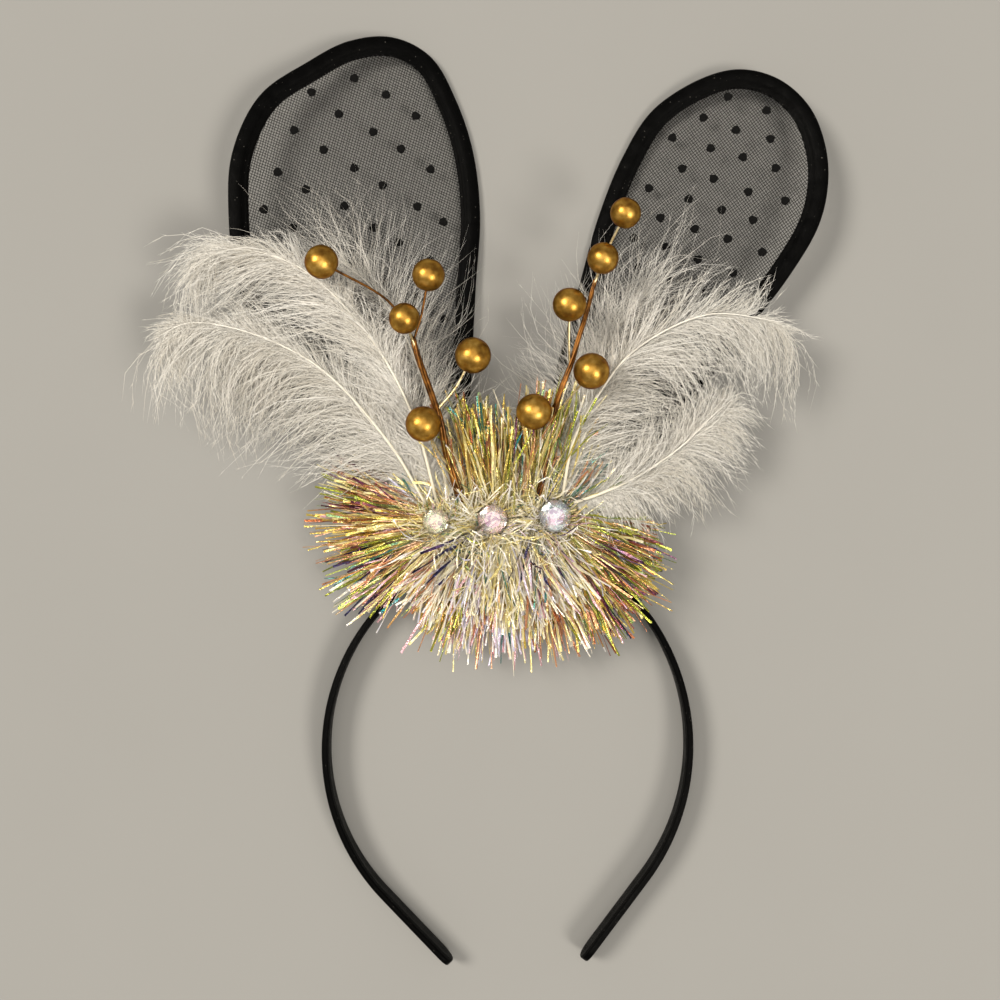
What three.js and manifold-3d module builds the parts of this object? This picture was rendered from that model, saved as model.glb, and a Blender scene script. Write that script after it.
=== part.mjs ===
// A bunny ear headband lying on its edge: a satin covered band, two ears of dotted net in satin
// bound rims, down feathers, two sprigs of pearls on wire, a tinsel burst and three cut gems.
// Millimetres, +Z up. +Y runs from the band's tips to its crown, and the origin is the middle of
// the crown on the band's flat lower edge.
import * as THREE from 'three';
import { ConvexGeometry } from 'three/addons/geometries/ConvexGeometry.js';
import { mergeVertices } from 'three/addons/utils/BufferGeometryUtils.js';
import Module from 'manifold-3d';

const wasm = await Module();
wasm.setup();

// Clearance between pieces that touch
const GAP = 0.3;
const UP = new THREE.Vector3(0, 0, 1);

// The band: a crown arc that each arm carries on with a wider arc and a straight end, angles in degrees about +Z
const BAND = {
  width: 11,
  thickness: 2.6,
  edgeFlat: 1.6,
  edgeRise: 0.9,
  crownRadius: 60,
  steps: 50,
  tipLength: 5,
  tipShare: 0.35,
  tipStations: [0, 0.08, 0.3],
};
const LEFT_ARM = { radius: 74, joint: 128, bend: 226, straight: 27.5 };
const RIGHT_ARM = { radius: 78, joint: 32, bend: -38, straight: 30 };

// The ears: a flat rim whose legs stand on the crown, with a net panel inside it
const RIM = { width: 7, thickness: 2.8, flatShare: 0.55, steps: 56, legShare: 0.42, legLength: 34 };
const NET = {
  thickness: 1,
  inset: 0.7,
  rows: 15,
  columns: 5,
  billow: 2.5,
  start: 0.045,
  end: 0.49,
  tipCrowding: 1.4,
};
const EARS = [
  {
    side: 'left',
    legs: [112, 107],
    base: { x: -20.5, y: 0, z: 6.45 },
    slope: { x: -0.17, y: -0.029 },
    // Middle line of the rim from the outer leg round the tip to the inner leg
    outline: [
      { x: -41, y: 17 },
      { x: -63, y: 40 },
      { x: -82, y: 67 },
      { x: -92, y: 95 },
      { x: -94.5, y: 117 },
      { x: -93.5, y: 136.2 },
      { x: -85, y: 155.5 },
      { x: -69.6, y: 167.5 },
      { x: -56.4, y: 175.3 },
      { x: -42.5, y: 177.5 },
      { x: -31, y: 172.2 },
      { x: -22.8, y: 158.2 },
      { x: -17, y: 140.8 },
      { x: -14.5, y: 119 },
      { x: -16, y: 93 },
      { x: -18, y: 50 },
      { x: -18.5, y: 20 },
    ],
  },
  {
    side: 'right',
    legs: [77.3, 72.4],
    base: { x: 16, y: 0, z: 5.9 },
    slope: { x: 0.18, y: -0.064 },
    outline: [
      { x: 13.5, y: 20 },
      { x: 15.5, y: 40 },
      { x: 20, y: 65 },
      { x: 27.5, y: 92 },
      { x: 34.5, y: 117 },
      { x: 43, y: 138 },
      { x: 53, y: 153.5 },
      { x: 69.5, y: 163.5 },
      { x: 81, y: 165.5 },
      { x: 92.5, y: 161.5 },
      { x: 101.5, y: 152 },
      { x: 106, y: 139 },
      { x: 106.5, y: 126.5 },
      { x: 103.5, y: 113.5 },
      { x: 94, y: 97 },
      { x: 78, y: 76 },
      { x: 59, y: 52 },
      { x: 38, y: 27 },
    ],
  },
];

// The tinsel's head is a flat pad across the top edge of the crown
const PAD = {
  left: -35,
  right: 27,
  low: -4,
  high: 22,
  corner: 10,
  cornerSteps: 5,
  bottom: BAND.width + GAP,
  top: 17,
};
// Fans of strips from the pad: start and end of the row of roots, plan angle and reach at both ends,
// height of the roots, and height of the strips' ends
const STRIP = { rootWidth: 3.8, tipWidth: 2.4, rootThickness: 1.4, tipThickness: 0.9, shortShare: 0.84 };
const FANS = [
  { count: 14, from: [-28, 14], to: [-28, 2], angles: [152, 222], reach: [41, 40], root: 14.6, end: 15.6 },
  { count: 21, from: [-26, 3], to: [19, 3], angles: [232, 304], reach: [44, 43], root: 14, end: 12.8 },
  { count: 13, from: [19, 4], to: [19, 12], angles: [-48, 14], reach: [39, 34], root: 14.4, end: 13 },
  { count: 13, from: [16, 15], to: [-18, 15], angles: [66, 112], reach: [41, 39], root: 14, end: 16.4 },
  { count: 13, from: [-26, 3], to: [19, 3], angles: [238, 302], reach: [31, 31], root: 15.2, end: 31 },
];

// The gems stand in a row on the pad
const GEM_HEIGHT_SHARE = 0.95;
const GEMS = [
  { name: 'gem_left', x: -26, y: 9.6, radius: 4.6 },
  { name: 'gem_center', x: -6.5, y: 10.2, radius: 5.2 },
  { name: 'gem_right', x: 15, y: 11.4, radius: 5.6 },
];

// The feathers: a quill that starts on the pad and levels off at its own height, with barbs in locks.
// left and right are the barbs' lengths on each side of the quill, seen along it
const QUILL = { rootRadius: 0.9, tipRadius: 0.4, levelShare: 0.2, bareSteps: 3 };
// The vane's start and end along the quill, and its barbs' length at both as a part of the longest
const VANE = { start: 0.16, end: 0.985, rootLength: 0.72, tipLength: 0.5, widest: 0.25 };
const LOCK = {
  perSide: 10,
  thickness: 1.9,
  notchShare: 0.42,
  notchRunIn: 0.25,
  elbowShare: 0.74,
  elbowWidth: 0.36,
  elbowThickness: 0.7,
  rootSweep: 66,
  tipSweep: 34,
  bend: 0.14,
};
const FEATHERS = [
  {
    name: 'feather_left_upper',
    level: 27.6,
    left: 25,
    right: 21,
    quill: [[-25.5, 16], [-34, 47], [-49.5, 74], [-73, 96], [-96, 101], [-107, 95]],
  },
  {
    name: 'feather_left_lower',
    level: 23.4,
    left: 36,
    right: 22,
    quill: [[-29.5, 15.5], [-41.5, 36], [-65.5, 62], [-90, 74], [-110, 77], [-119, 73]],
  },
  {
    name: 'feather_left_back',
    level: 20,
    left: 25,
    right: 29,
    quill: [[-21.5, 16], [-25.5, 37], [-30, 56], [-39, 79], [-54, 97], [-70, 107]],
  },
  {
    name: 'feather_right_upper',
    level: 25.6,
    left: 20,
    right: 30,
    quill: [[17.5, 18.4], [21, 37], [29, 52], [41, 67], [66, 79.5], [92, 77]],
  },
  {
    name: 'feather_right_lower',
    level: 21.8,
    left: 23,
    right: 26,
    quill: [[21.5, 16], [30, 19], [42, 24.5], [58, 35], [70.5, 47], [78, 53]],
  },
  {
    name: 'feather_right_back',
    level: 18.6,
    left: 25,
    right: 24,
    quill: [[13.8, 18.4], [20, 34], [25.5, 51], [32, 69], [42, 86], [58, 98]],
  },
];

// The sprigs: a stem of twisted wire with thinner wires that each end at a pearl
const WIRE_RADIUS = 0.5;
const STEM = { sides: 6, steps: 9, wireSteps: 5 };
const PEARL = { sides: 12, bands: 7 };
const SPRIGS = [
  {
    side: 'left',
    radii: [1.5, 1.1],
    stem: [[-17.2, 16.5, 18.9], [-20.7, 27, 23], [-25, 47, 30.5], [-30.5, 62, 32], [-33, 71, 32]],
    // Where each pearl's wire leaves the stem, with a point on its way, and the pearl at its end
    pearls: [
      { x: -63, y: 95.6, z: 36, radius: 5.6, wire: [[-33, 71, 32], [-41, 83, 32.4]] },
      { x: -27.6, y: 91.3, z: 36, radius: 5.4, wire: [[-32.8, 70, 32], [-30, 79, 33]] },
      { x: -35.4, y: 76.6, z: 38.4, radius: 5.1, wire: [[-32, 67, 32], [-33.2, 70.5, 33.4]] },
      { x: -12.9, y: 64.8, z: 35, radius: 6, wire: [[-25, 47, 30.5], [-19, 54, 32]] },
      { x: -29.3, y: 42, z: 36.5, radius: 5.9, wire: [[-20.8, 28, 23.4], [-24, 32, 27.5]] },
    ],
  },
  {
    side: 'right',
    radii: [1.3, 0.8],
    stem: [[9.2, 18.5, 18.7], [12.6, 34, 23.5], [15, 49, 29], [20.4, 64.5, 31.6], [28, 90.5, 32]],
    pearls: [
      { x: 37.7, y: 112, z: 35, radius: 5.1, wire: [[28, 90, 32], [31.5, 99.5, 30]] },
      { x: 30, y: 96.6, z: 37.2, radius: 5.2, wire: [[27.4, 88.5, 32], [28.4, 91.5, 33]] },
      { x: 19, y: 81.4, z: 36.6, radius: 5.6, wire: [[19.4, 61.5, 31.2], [19, 70, 33]] },
      { x: 26.3, y: 59.5, z: 36, radius: 6, wire: [[14.4, 45, 27.5], [18.6, 50, 29.5]] },
      { x: 7.4, y: 46.3, z: 33, radius: 6, wire: [[12.6, 34, 23.5], [10.5, 38.5, 26.5]] },
    ],
  },
];

const MATERIALS = {
  satin: { color: 0x0b0b0c, roughness: 0.42, metalness: 0 },
  net: { color: 0x2a2926, roughness: 0.85, metalness: 0 },
  down: { color: 0xd6d2c8, roughness: 0.9, metalness: 0 },
  wire: { color: 0x7a4417, roughness: 0.4, metalness: 0.6 },
  pearl: { color: 0xa9781c, roughness: 0.3, metalness: 0.5 },
  tinsel: { color: 0xd8c48a, roughness: 0.2, metalness: 0.4 },
  crystal: { color: 0xdfe3e8, roughness: 0.05, metalness: 0 },
};

const radians = THREE.MathUtils.degToRad;
const lerp = THREE.MathUtils.lerp;
const smoothstep = THREE.MathUtils.smoothstep;

// Six times the volume inside an indexed geometry, negative where its faces point in
function signedVolume(geometry) {
  const position = geometry.attributes.position;
  const index = geometry.index.array;
  const corner = [0, 1, 2].map(() => new THREE.Vector3());
  let sum = 0;
  for (let i = 0; i < index.length; i += 3) {
    corner.forEach((point, k) => point.fromBufferAttribute(position, index[i + k]));
    sum += corner[0].dot(corner[1].cross(corner[2]));
  }
  return sum;
}

function fromArrays(positions, index) {
  const geometry = new THREE.BufferGeometry();
  geometry.setAttribute('position', new THREE.Float32BufferAttribute(positions, 3));
  geometry.setIndex(index);
  return geometry;
}

// Closed skin over rings of points, each ring an even number of points in the same order.
// Both ends are closed by a ladder of quads across the ring
function loft(rings) {
  const count = rings[0].length;
  const last = (rings.length - 1) * count;
  const positions = rings.flat().flatMap((point) => point.toArray());
  const index = [];
  for (let start = 0; start < last; start += count) {
    for (let k = 0; k < count; k++) {
      const a = start + k;
      const b = start + ((k + 1) % count);
      index.push(a, b, b + count, a, b + count, a + count);
    }
  }
  for (let k = 0; k + 1 < count / 2; k++) {
    const far = count - 1 - k;
    index.push(k, far - 1, k + 1, k, far, far - 1);
    index.push(last + k, last + k + 1, last + far - 1, last + k, last + far - 1, last + far);
  }
  if (signedVolume(fromArrays(positions, index)) < 0) {
    index.reverse();
  }
  return fromArrays(positions, index);
}

// Points of a section given as [across, along] pairs, placed at a centre on two directions
function ring(center, across, along, section) {
  return section.map(([u, v]) => center.clone().addScaledVector(across, u).addScaledVector(along, v));
}

function toSolid(geometry) {
  const bare = geometry.clone();
  bare.deleteAttribute('normal');
  bare.deleteAttribute('uv');
  const merged = mergeVertices(bare);
  const vertProperties = new Float32Array(merged.attributes.position.array);
  const triVerts = new Uint32Array(merged.index.array);
  return new wasm.Manifold(new wasm.Mesh({ numProp: 3, vertProperties, triVerts }));
}

// One body out of geometries that overlap
function fuse(geometries) {
  const whole = geometries.map(toSolid).reduce((sum, next) => sum.add(next));
  const mesh = whole.getMesh();
  return fromArrays(Array.from(mesh.vertProperties), Array.from(mesh.triVerts));
}

// Round tube along a curve, from one radius to another
function tube(curve, radii, sides, steps) {
  const frames = curve.computeFrenetFrames(steps, false);
  const rings = curve.getSpacedPoints(steps).map((center, i) => {
    const radius = lerp(radii[0], radii[1], i / steps);
    const section = Array.from({ length: sides }, (_, k) => {
      const angle = (2 * Math.PI * k) / sides;
      return [radius * Math.cos(angle), radius * Math.sin(angle)];
    });
    return ring(center, frames.normals[i], frames.binormals[i], section);
  });
  return loft(rings);
}

// Point on the crown's arc at an angle, a distance out from the middle of the band's thickness
function crownPoint(angle, out, z) {
  const radius = BAND.crownRadius + out;
  const turn = radians(angle);
  return new THREE.Vector3(radius * Math.cos(turn), radius * Math.sin(turn) - BAND.crownRadius, z);
}

function addArm(path, arm, from, to) {
  const center = crownPoint(arm.joint, -arm.radius, 0);
  path.absarc(center.x, center.y, arm.radius, radians(from), radians(to), true);
}

// Point of an arm's straight end, a distance on from the arc's bend
function armEnd(arm, distance) {
  const center = crownPoint(arm.joint, -arm.radius, 0);
  const turn = radians(arm.bend);
  const out = new THREE.Vector2(Math.cos(turn), Math.sin(turn));
  const along = new THREE.Vector2(-out.y, out.x).multiplyScalar(Math.sign(arm.bend - arm.joint));
  return new THREE.Vector2(center.x, center.y).addScaledVector(out, arm.radius).addScaledVector(along, distance);
}

// Middle line of the band from the left tip over the crown to the right tip
function bandPath() {
  const path = new THREE.Path();
  const leftTip = armEnd(LEFT_ARM, LEFT_ARM.straight);
  const leftBend = armEnd(LEFT_ARM, 0);
  path.moveTo(leftTip.x, leftTip.y);
  path.lineTo(leftBend.x, leftBend.y);
  addArm(path, LEFT_ARM, LEFT_ARM.bend, LEFT_ARM.joint);
  const crownStart = radians(LEFT_ARM.joint);
  path.absarc(0, -BAND.crownRadius, BAND.crownRadius, crownStart, radians(RIGHT_ARM.joint), true);
  addArm(path, RIGHT_ARM, RIGHT_ARM.joint, RIGHT_ARM.bend);
  const rightTip = armEnd(RIGHT_ARM, RIGHT_ARM.straight);
  path.lineTo(rightTip.x, rightTip.y);
  return path;
}

// Flat strip on edge with eased corners, narrowed in height by share for the rounded tips
function bandSection(share) {
  const half = BAND.thickness / 2;
  const flat = BAND.edgeFlat / 2;
  const middle = BAND.width / 2;
  const low = middle - middle * share;
  const high = middle + middle * share;
  const rise = BAND.edgeRise * share;
  const lowEdge = [[-half, low + rise], [-flat, low], [flat, low], [half, low + rise]];
  const highEdge = [[half, high - rise], [flat, high], [-flat, high], [-half, high - rise]];
  return [...lowEdge, ...highEdge];
}

function headband() {
  const path = bandPath();
  const length = path.getLength();
  const tip = BAND.tipLength;
  const stations = BAND.tipStations.map((share) => share * tip);
  const farTip = stations.map((station) => length - station).reverse();
  for (let i = 0; i <= BAND.steps; i++) {
    stations.push(lerp(tip, length - tip, i / BAND.steps));
  }
  stations.push(...farTip);
  const rings = stations.map((station) => {
    const point = path.getPoint(station / length);
    const tangent = path.getTangent(station / length);
    const across = new THREE.Vector3(-tangent.y, tangent.x, 0);
    const inset = 1 - Math.min(1, Math.min(station, length - station) / tip);
    const share = lerp(BAND.tipShare, 1, Math.sqrt(1 - inset * inset));
    return ring(new THREE.Vector3(point.x, point.y, 0), across, UP, bandSection(share));
  });
  return loft(rings);
}

// An ear lies on a sloping plane through its base
function earPoint(ear, x, y) {
  const z = ear.base.z + ear.slope.x * (x - ear.base.x) + ear.slope.y * (y - ear.base.y);
  return new THREE.Vector3(x, y, z);
}

function earNormal(ear) {
  return new THREE.Vector3(-ear.slope.x, -ear.slope.y, 1).normalize();
}

function rimCurve(ear) {
  const legs = ear.legs.map((angle) => {
    const foot = crownPoint(angle, BAND.thickness / 2 + 2 * GAP, 0);
    return earPoint(ear, foot.x, foot.y);
  });
  const points = ear.outline.map(({ x, y }) => earPoint(ear, x, y));
  return new THREE.CatmullRomCurve3([legs[0], ...points, legs[1]], false, 'centripetal');
}

// Direction from the rim's middle line to the ear's inside
function inward(ear, tangent) {
  return new THREE.Vector3().crossVectors(tangent, earNormal(ear)).normalize();
}

function earRim(ear) {
  const curve = rimCurve(ear);
  const length = curve.getLength();
  const rings = [];
  for (let i = 0; i <= RIM.steps; i++) {
    const t = i / RIM.steps;
    const fromLeg = Math.min(t, 1 - t) * length;
    const share = lerp(RIM.legShare, 1, smoothstep(fromLeg, 0, RIM.legLength));
    const half = (RIM.width / 2) * share;
    const flat = half * RIM.flatShare;
    const thick = RIM.thickness / 2;
    const section = [[-half, 0], [-flat, -thick], [flat, -thick], [half, 0], [flat, thick], [-flat, thick]];
    const across = inward(ear, curve.getTangentAt(t));
    rings.push(ring(curve.getPointAt(t), across, earNormal(ear), section));
  }
  return loft(rings);
}

// Net panel: rows across the ear between the inner edges of the rim's two sides, bellied upwards
function earNet(ear) {
  const curve = rimCurve(ear);
  const normal = earNormal(ear);
  const reach = RIM.width / 2 + NET.inset;
  const edge = (t) => curve.getPointAt(t).addScaledVector(inward(ear, curve.getTangentAt(t)), reach);
  const rings = [];
  for (let row = 0; row <= NET.rows; row++) {
    const along = 1 - (1 - row / NET.rows) ** NET.tipCrowding;
    const t = lerp(NET.start, NET.end, along);
    const sides = [edge(t), edge(1 - t)];
    const belly = NET.billow * Math.sin(Math.PI * along);
    const top = [];
    const bottom = [];
    for (let column = 0; column <= NET.columns; column++) {
      const across = column / NET.columns;
      const point = sides[0].clone().lerp(sides[1], across);
      point.addScaledVector(normal, belly * Math.sin(Math.PI * across));
      top.push(point.clone().addScaledVector(normal, NET.thickness / 2));
      bottom.unshift(point.clone().addScaledVector(normal, -NET.thickness / 2));
    }
    rings.push([...top, ...bottom]);
  }
  return loft(rings);
}

// Middle line of a quill, which rises from the pad to the feather's own level
function quillCurve(feather) {
  const root = PAD.top + GAP + QUILL.rootRadius;
  const last = feather.quill.length - 1;
  const points = feather.quill.map(([x, y], i) => {
    const z = lerp(root, feather.level, smoothstep(i / last, 0, QUILL.levelShare));
    return new THREE.Vector3(x, y, z);
  });
  return new THREE.CatmullRomCurve3(points, false, 'centripetal');
}

// Barb length at a share of the way along the vane, as a part of the longest
function vaneSwell(along) {
  const rise = Math.sin(Math.PI * Math.min(1, along + VANE.widest));
  return lerp(VANE.rootLength, 1, rise) * lerp(1, VANE.tipLength, along ** 3);
}

// Place beside the quill: a share of the barbs' length out along the way that they lean
function barbPoint(curve, along, side, out) {
  const t = lerp(VANE.start, VANE.end, along);
  const tangent = curve.getTangentAt(t).setZ(0).normalize();
  const sweep = radians(lerp(LOCK.rootSweep, LOCK.tipSweep, along));
  const outward = new THREE.Vector3().crossVectors(UP, tangent).multiplyScalar(side.sign);
  const length = side.reach * vaneSwell(along) * out;
  const point = curve.getPointAt(t);
  point.addScaledVector(tangent, length * (Math.cos(sweep) + LOCK.bend * out));
  return point.addScaledVector(outward, length * Math.sin(sweep));
}

// Collects shared points and faces, with the faces turned over where flip is true
function newSkin() {
  const positions = [];
  const index = [];
  const add = (point) => positions.push(point.x, point.y, point.z) / 3 - 1;
  const face = (flip, a, b, c) => index.push(a, flip ? c : b, flip ? b : c);
  return { positions, index, add, face };
}

// Bare quill up to the vane: a round tapering rod of four sides
function bareQuill(skin, curve) {
  let before = null;
  for (let i = 0; i <= QUILL.bareSteps; i++) {
    const t = (VANE.start * i) / QUILL.bareSteps;
    const center = curve.getPointAt(t);
    const across = new THREE.Vector3().crossVectors(UP, curve.getTangentAt(t)).normalize();
    const radius = QUILL.rootRadius;
    const section = [[radius, 0], [0, radius], [-radius, 0], [0, -radius]];
    const now = ring(center, across, UP, section).map(skin.add);
    if (before) {
      for (let k = 0; k < 4; k++) {
        const next = (k + 1) % 4;
        skin.face(false, before[k], before[next], now[next]);
        skin.face(false, before[k], now[next], now[k]);
      }
    } else {
      skin.face(true, now[0], now[1], now[2]);
      skin.face(true, now[0], now[2], now[3]);
    }
    before = now;
  }
  return { left: before[0], top: before[1], right: before[2], bottom: before[3] };
}

// One face of a lock of barbs between two notches, from the quill out to the lock's tip
function lockFace(skin, flip, quill, notch, elbow, middle, peak, tip) {
  skin.face(flip, quill[0], quill[1], middle);
  skin.face(flip, quill[0], middle, notch[0]);
  skin.face(flip, quill[1], notch[1], middle);
  skin.face(flip, notch[0], middle, peak);
  skin.face(flip, notch[0], peak, elbow[0]);
  skin.face(flip, middle, notch[1], elbow[1]);
  skin.face(flip, middle, elbow[1], peak);
  skin.face(flip, elbow[0], peak, tip);
  skin.face(flip, peak, elbow[1], tip);
}

// How far out the notch between two locks reaches, as a part of the barbs' length
function notchOut(along) {
  return LOCK.notchShare * Math.min(1, along / LOCK.notchRunIn);
}

// All locks on one side of the quill, whose lower and upper lines of points are given
function lockRow(skin, curve, side, tops, bottoms) {
  const step = 1 / LOCK.perSide;
  const place = (along, out) => barbPoint(curve, along, side, out);
  const raised = (point, rise) => skin.add(point.clone().setZ(point.z + rise));
  const notches = [side.root];
  for (let k = 1; k <= LOCK.perSide; k++) {
    notches.push(skin.add(place(k * step, notchOut(k * step))));
  }
  for (let k = 0; k < LOCK.perSide; k++) {
    const along = (k + 0.5) * step;
    const half = LOCK.elbowWidth * step;
    const middle = place(along, notchOut(along));
    const peak = place(along, LOCK.elbowShare);
    const tip = skin.add(place(along, 1));
    const notch = [notches[k], notches[k + 1]];
    const elbow = [along - half, along + half].map((at) => skin.add(place(at, LOCK.elbowShare)));
    for (const [sign, quill] of [[1, tops], [-1, bottoms]]) {
      const rise = (sign * LOCK.thickness) / 2;
      const high = [raised(middle, rise), raised(peak, rise * LOCK.elbowThickness)];
      lockFace(skin, sign !== side.sign, [quill[k], quill[k + 1]], notch, elbow, ...high, tip);
    }
  }
  return notches.at(-1);
}

// A feather: its vane is two rows of locks that run together towards the quill
function feather(spec) {
  const curve = quillCurve(spec);
  const skin = newSkin();
  const start = bareQuill(skin, curve);
  const tops = [start.top];
  const bottoms = [start.bottom];
  for (let k = 1; k <= LOCK.perSide; k++) {
    const along = k / LOCK.perSide;
    const center = curve.getPointAt(lerp(VANE.start, VANE.end, along));
    const radius = lerp(QUILL.rootRadius, QUILL.tipRadius, along);
    tops.push(skin.add(center.clone().setZ(center.z + radius)));
    bottoms.push(skin.add(center.clone().setZ(center.z - radius)));
  }
  const sides = [
    { sign: 1, reach: spec.left, root: start.left },
    { sign: -1, reach: spec.right, root: start.right },
  ];
  const end = skin.add(barbPoint(curve, 1, sides[0], 1));
  for (const side of sides) {
    const lastNotch = lockRow(skin, curve, side, tops, bottoms);
    skin.face(side.sign < 0, tops.at(-1), end, lastNotch);
    skin.face(side.sign > 0, bottoms.at(-1), end, lastNotch);
  }
  return fromArrays(skin.positions, skin.index);
}

function sprigStem(sprig) {
  const vectors = (points) => points.map((point) => new THREE.Vector3(...point));
  const main = new THREE.CatmullRomCurve3(vectors(sprig.stem), false, 'centripetal');
  const pieces = [tube(main, sprig.radii, STEM.sides, STEM.steps)];
  for (const pearl of sprig.pearls) {
    const center = new THREE.Vector3(pearl.x, pearl.y, pearl.z);
    const way = vectors(pearl.wire);
    const toPearl = center.clone().sub(way.at(-1)).normalize();
    const end = center.addScaledVector(toPearl, -(pearl.radius + GAP));
    const curve = new THREE.CatmullRomCurve3([...way, end], false, 'centripetal');
    pieces.push(tube(curve, [WIRE_RADIUS, WIRE_RADIUS], STEM.sides, STEM.wireSteps));
  }
  return fuse(pieces);
}

// Pad with round corners that carries the tinsel, the gems, the quills and the stems
function tinselPad() {
  const { left, right, low, high, corner } = PAD;
  const outline = new THREE.Shape();
  outline.absarc(right - corner, high - corner, corner, 0, Math.PI / 2, false);
  outline.absarc(left + corner, high - corner, corner, Math.PI / 2, Math.PI, false);
  outline.absarc(left + corner, low + corner, corner, Math.PI, 1.5 * Math.PI, false);
  outline.absarc(right - corner, low + corner, corner, 1.5 * Math.PI, 2 * Math.PI, false);
  const options = { depth: PAD.top - PAD.bottom, bevelEnabled: false, curveSegments: PAD.cornerSteps };
  return new THREE.ExtrudeGeometry(outline, options).translate(0, 0, PAD.bottom);
}

function strip(root, tip) {
  const heading = tip.clone().sub(root).normalize();
  const across = new THREE.Vector3().crossVectors(UP, heading).normalize();
  const over = new THREE.Vector3().crossVectors(heading, across);
  const section = (width, thickness) => {
    const u = width / 2;
    const v = thickness / 2;
    return [[-u, -v], [u, -v], [u, v], [-u, v]];
  };
  return loft([
    ring(root, across, over, section(STRIP.rootWidth, STRIP.rootThickness)),
    ring(tip, across, over, section(STRIP.tipWidth, STRIP.tipThickness)),
  ]);
}

function tinsel() {
  const pieces = [tinselPad()];
  for (const fan of FANS) {
    for (let k = 0; k < fan.count; k++) {
      const share = k / (fan.count - 1);
      const angle = radians(lerp(fan.angles[0], fan.angles[1], share));
      const reach = lerp(fan.reach[0], fan.reach[1], share) * (k % 2 ? STRIP.shortShare : 1);
      const x = lerp(fan.from[0], fan.to[0], share);
      const y = lerp(fan.from[1], fan.to[1], share);
      const root = new THREE.Vector3(x, y, fan.root);
      const tip = new THREE.Vector3(x + reach * Math.cos(angle), y + reach * Math.sin(angle), fan.end);
      pieces.push(strip(root, tip));
    }
  }
  return fuse(pieces);
}

// Round brilliant with a flat back: an eight sided table, a crown of facets, a girdle and a pavilion
function gem(spec) {
  const height = spec.radius * GEM_HEIGHT_SHARE;
  const tiers = [
    { sides: 8, turn: 0, radius: 0.56, level: 1 },
    { sides: 8, turn: 0.5, radius: 0.84, level: 0.74 },
    { sides: 16, turn: 0, radius: 1, level: 0.46 },
    { sides: 16, turn: 0, radius: 1, level: 0.38 },
    { sides: 8, turn: 0, radius: 0.72, level: 0 },
  ];
  const points = tiers.flatMap(({ sides, turn, radius, level }) =>
    Array.from({ length: sides }, (_, k) => {
      const angle = (2 * Math.PI * (k + turn)) / sides;
      const out = spec.radius * radius;
      return new THREE.Vector3(out * Math.cos(angle), out * Math.sin(angle), height * level);
    }),
  );
  const geometry = new ConvexGeometry(points);
  geometry.deleteAttribute('normal');
  return mergeVertices(geometry);
}

function pearlBall(pearl) {
  const geometry = new THREE.SphereGeometry(pearl.radius, PEARL.sides, PEARL.bands);
  geometry.deleteAttribute('normal');
  geometry.deleteAttribute('uv');
  return mergeVertices(geometry);
}

function mesh(name, geometry, finish) {
  geometry.computeVertexNormals();
  const piece = new THREE.Mesh(geometry, new THREE.MeshStandardMaterial(MATERIALS[finish]));
  piece.name = name;
  return piece;
}

function build() {
  const whole = new THREE.Group();
  whole.add(mesh('headband', headband(), 'satin'));
  for (const ear of EARS) {
    whole.add(mesh(`ear_rim_${ear.side}`, earRim(ear), 'satin'));
    whole.add(mesh(`ear_net_${ear.side}`, earNet(ear), 'net'));
  }
  for (const spec of FEATHERS) {
    whole.add(mesh(spec.name, feather(spec), 'down'));
  }
  for (const sprig of SPRIGS) {
    whole.add(mesh(`sprig_stem_${sprig.side}`, sprigStem(sprig), 'wire'));
    sprig.pearls.forEach((pearl, i) => {
      const ball = mesh(`bead_${sprig.side}_${i + 1}`, pearlBall(pearl), 'pearl');
      ball.position.set(pearl.x, pearl.y, pearl.z);
      whole.add(ball);
    });
  }
  whole.add(mesh('tinsel', tinsel(), 'tinsel'));
  for (const spec of GEMS) {
    const stone = mesh(spec.name, gem(spec), 'crystal');
    stone.position.set(spec.x, spec.y, PAD.top + GAP);
    whole.add(stone);
  }
  return whole;
}

export default build();
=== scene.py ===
"""Looks for a bunny ear headband: satin band and rims, dotted tulle, down feathers, pearls on wire,
tinsel and gems. Tables are in millimetres in the part's own frame, and meshes are made in metres."""
import math

import bmesh
import bpy
import numpy as np
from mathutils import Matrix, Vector


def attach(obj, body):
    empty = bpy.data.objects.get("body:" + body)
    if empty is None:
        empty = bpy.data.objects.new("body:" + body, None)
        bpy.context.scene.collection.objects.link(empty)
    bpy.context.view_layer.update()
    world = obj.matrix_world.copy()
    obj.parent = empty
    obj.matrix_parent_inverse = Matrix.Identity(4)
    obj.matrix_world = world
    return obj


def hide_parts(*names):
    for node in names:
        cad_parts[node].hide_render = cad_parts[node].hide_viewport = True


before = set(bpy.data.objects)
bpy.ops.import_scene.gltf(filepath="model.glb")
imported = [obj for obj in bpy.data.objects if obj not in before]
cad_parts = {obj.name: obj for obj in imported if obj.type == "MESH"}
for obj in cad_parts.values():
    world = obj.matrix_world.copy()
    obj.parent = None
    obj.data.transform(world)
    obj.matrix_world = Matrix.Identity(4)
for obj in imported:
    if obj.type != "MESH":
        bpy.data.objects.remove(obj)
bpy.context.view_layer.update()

MM = 0.001
TURN = 2 * math.pi
UP = np.array([0.0, 0.0, 1.0])
BODY = "root"


class Row(dict):
    """Named values of one sub-part, read as row.name."""

    __getattr__ = dict.__getitem__


# Where each sub-part's random draws start
SEEDS = Row(rims=10, nets=20, feathers=40, tinsel=60)

# The photograph was taken from straight above
CAMERA = Row(x=-3.955, y=16.9, z=461.0, focal_pixels=1285.7, image_side=1000, sensor=36.0, clip=10.0)

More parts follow.
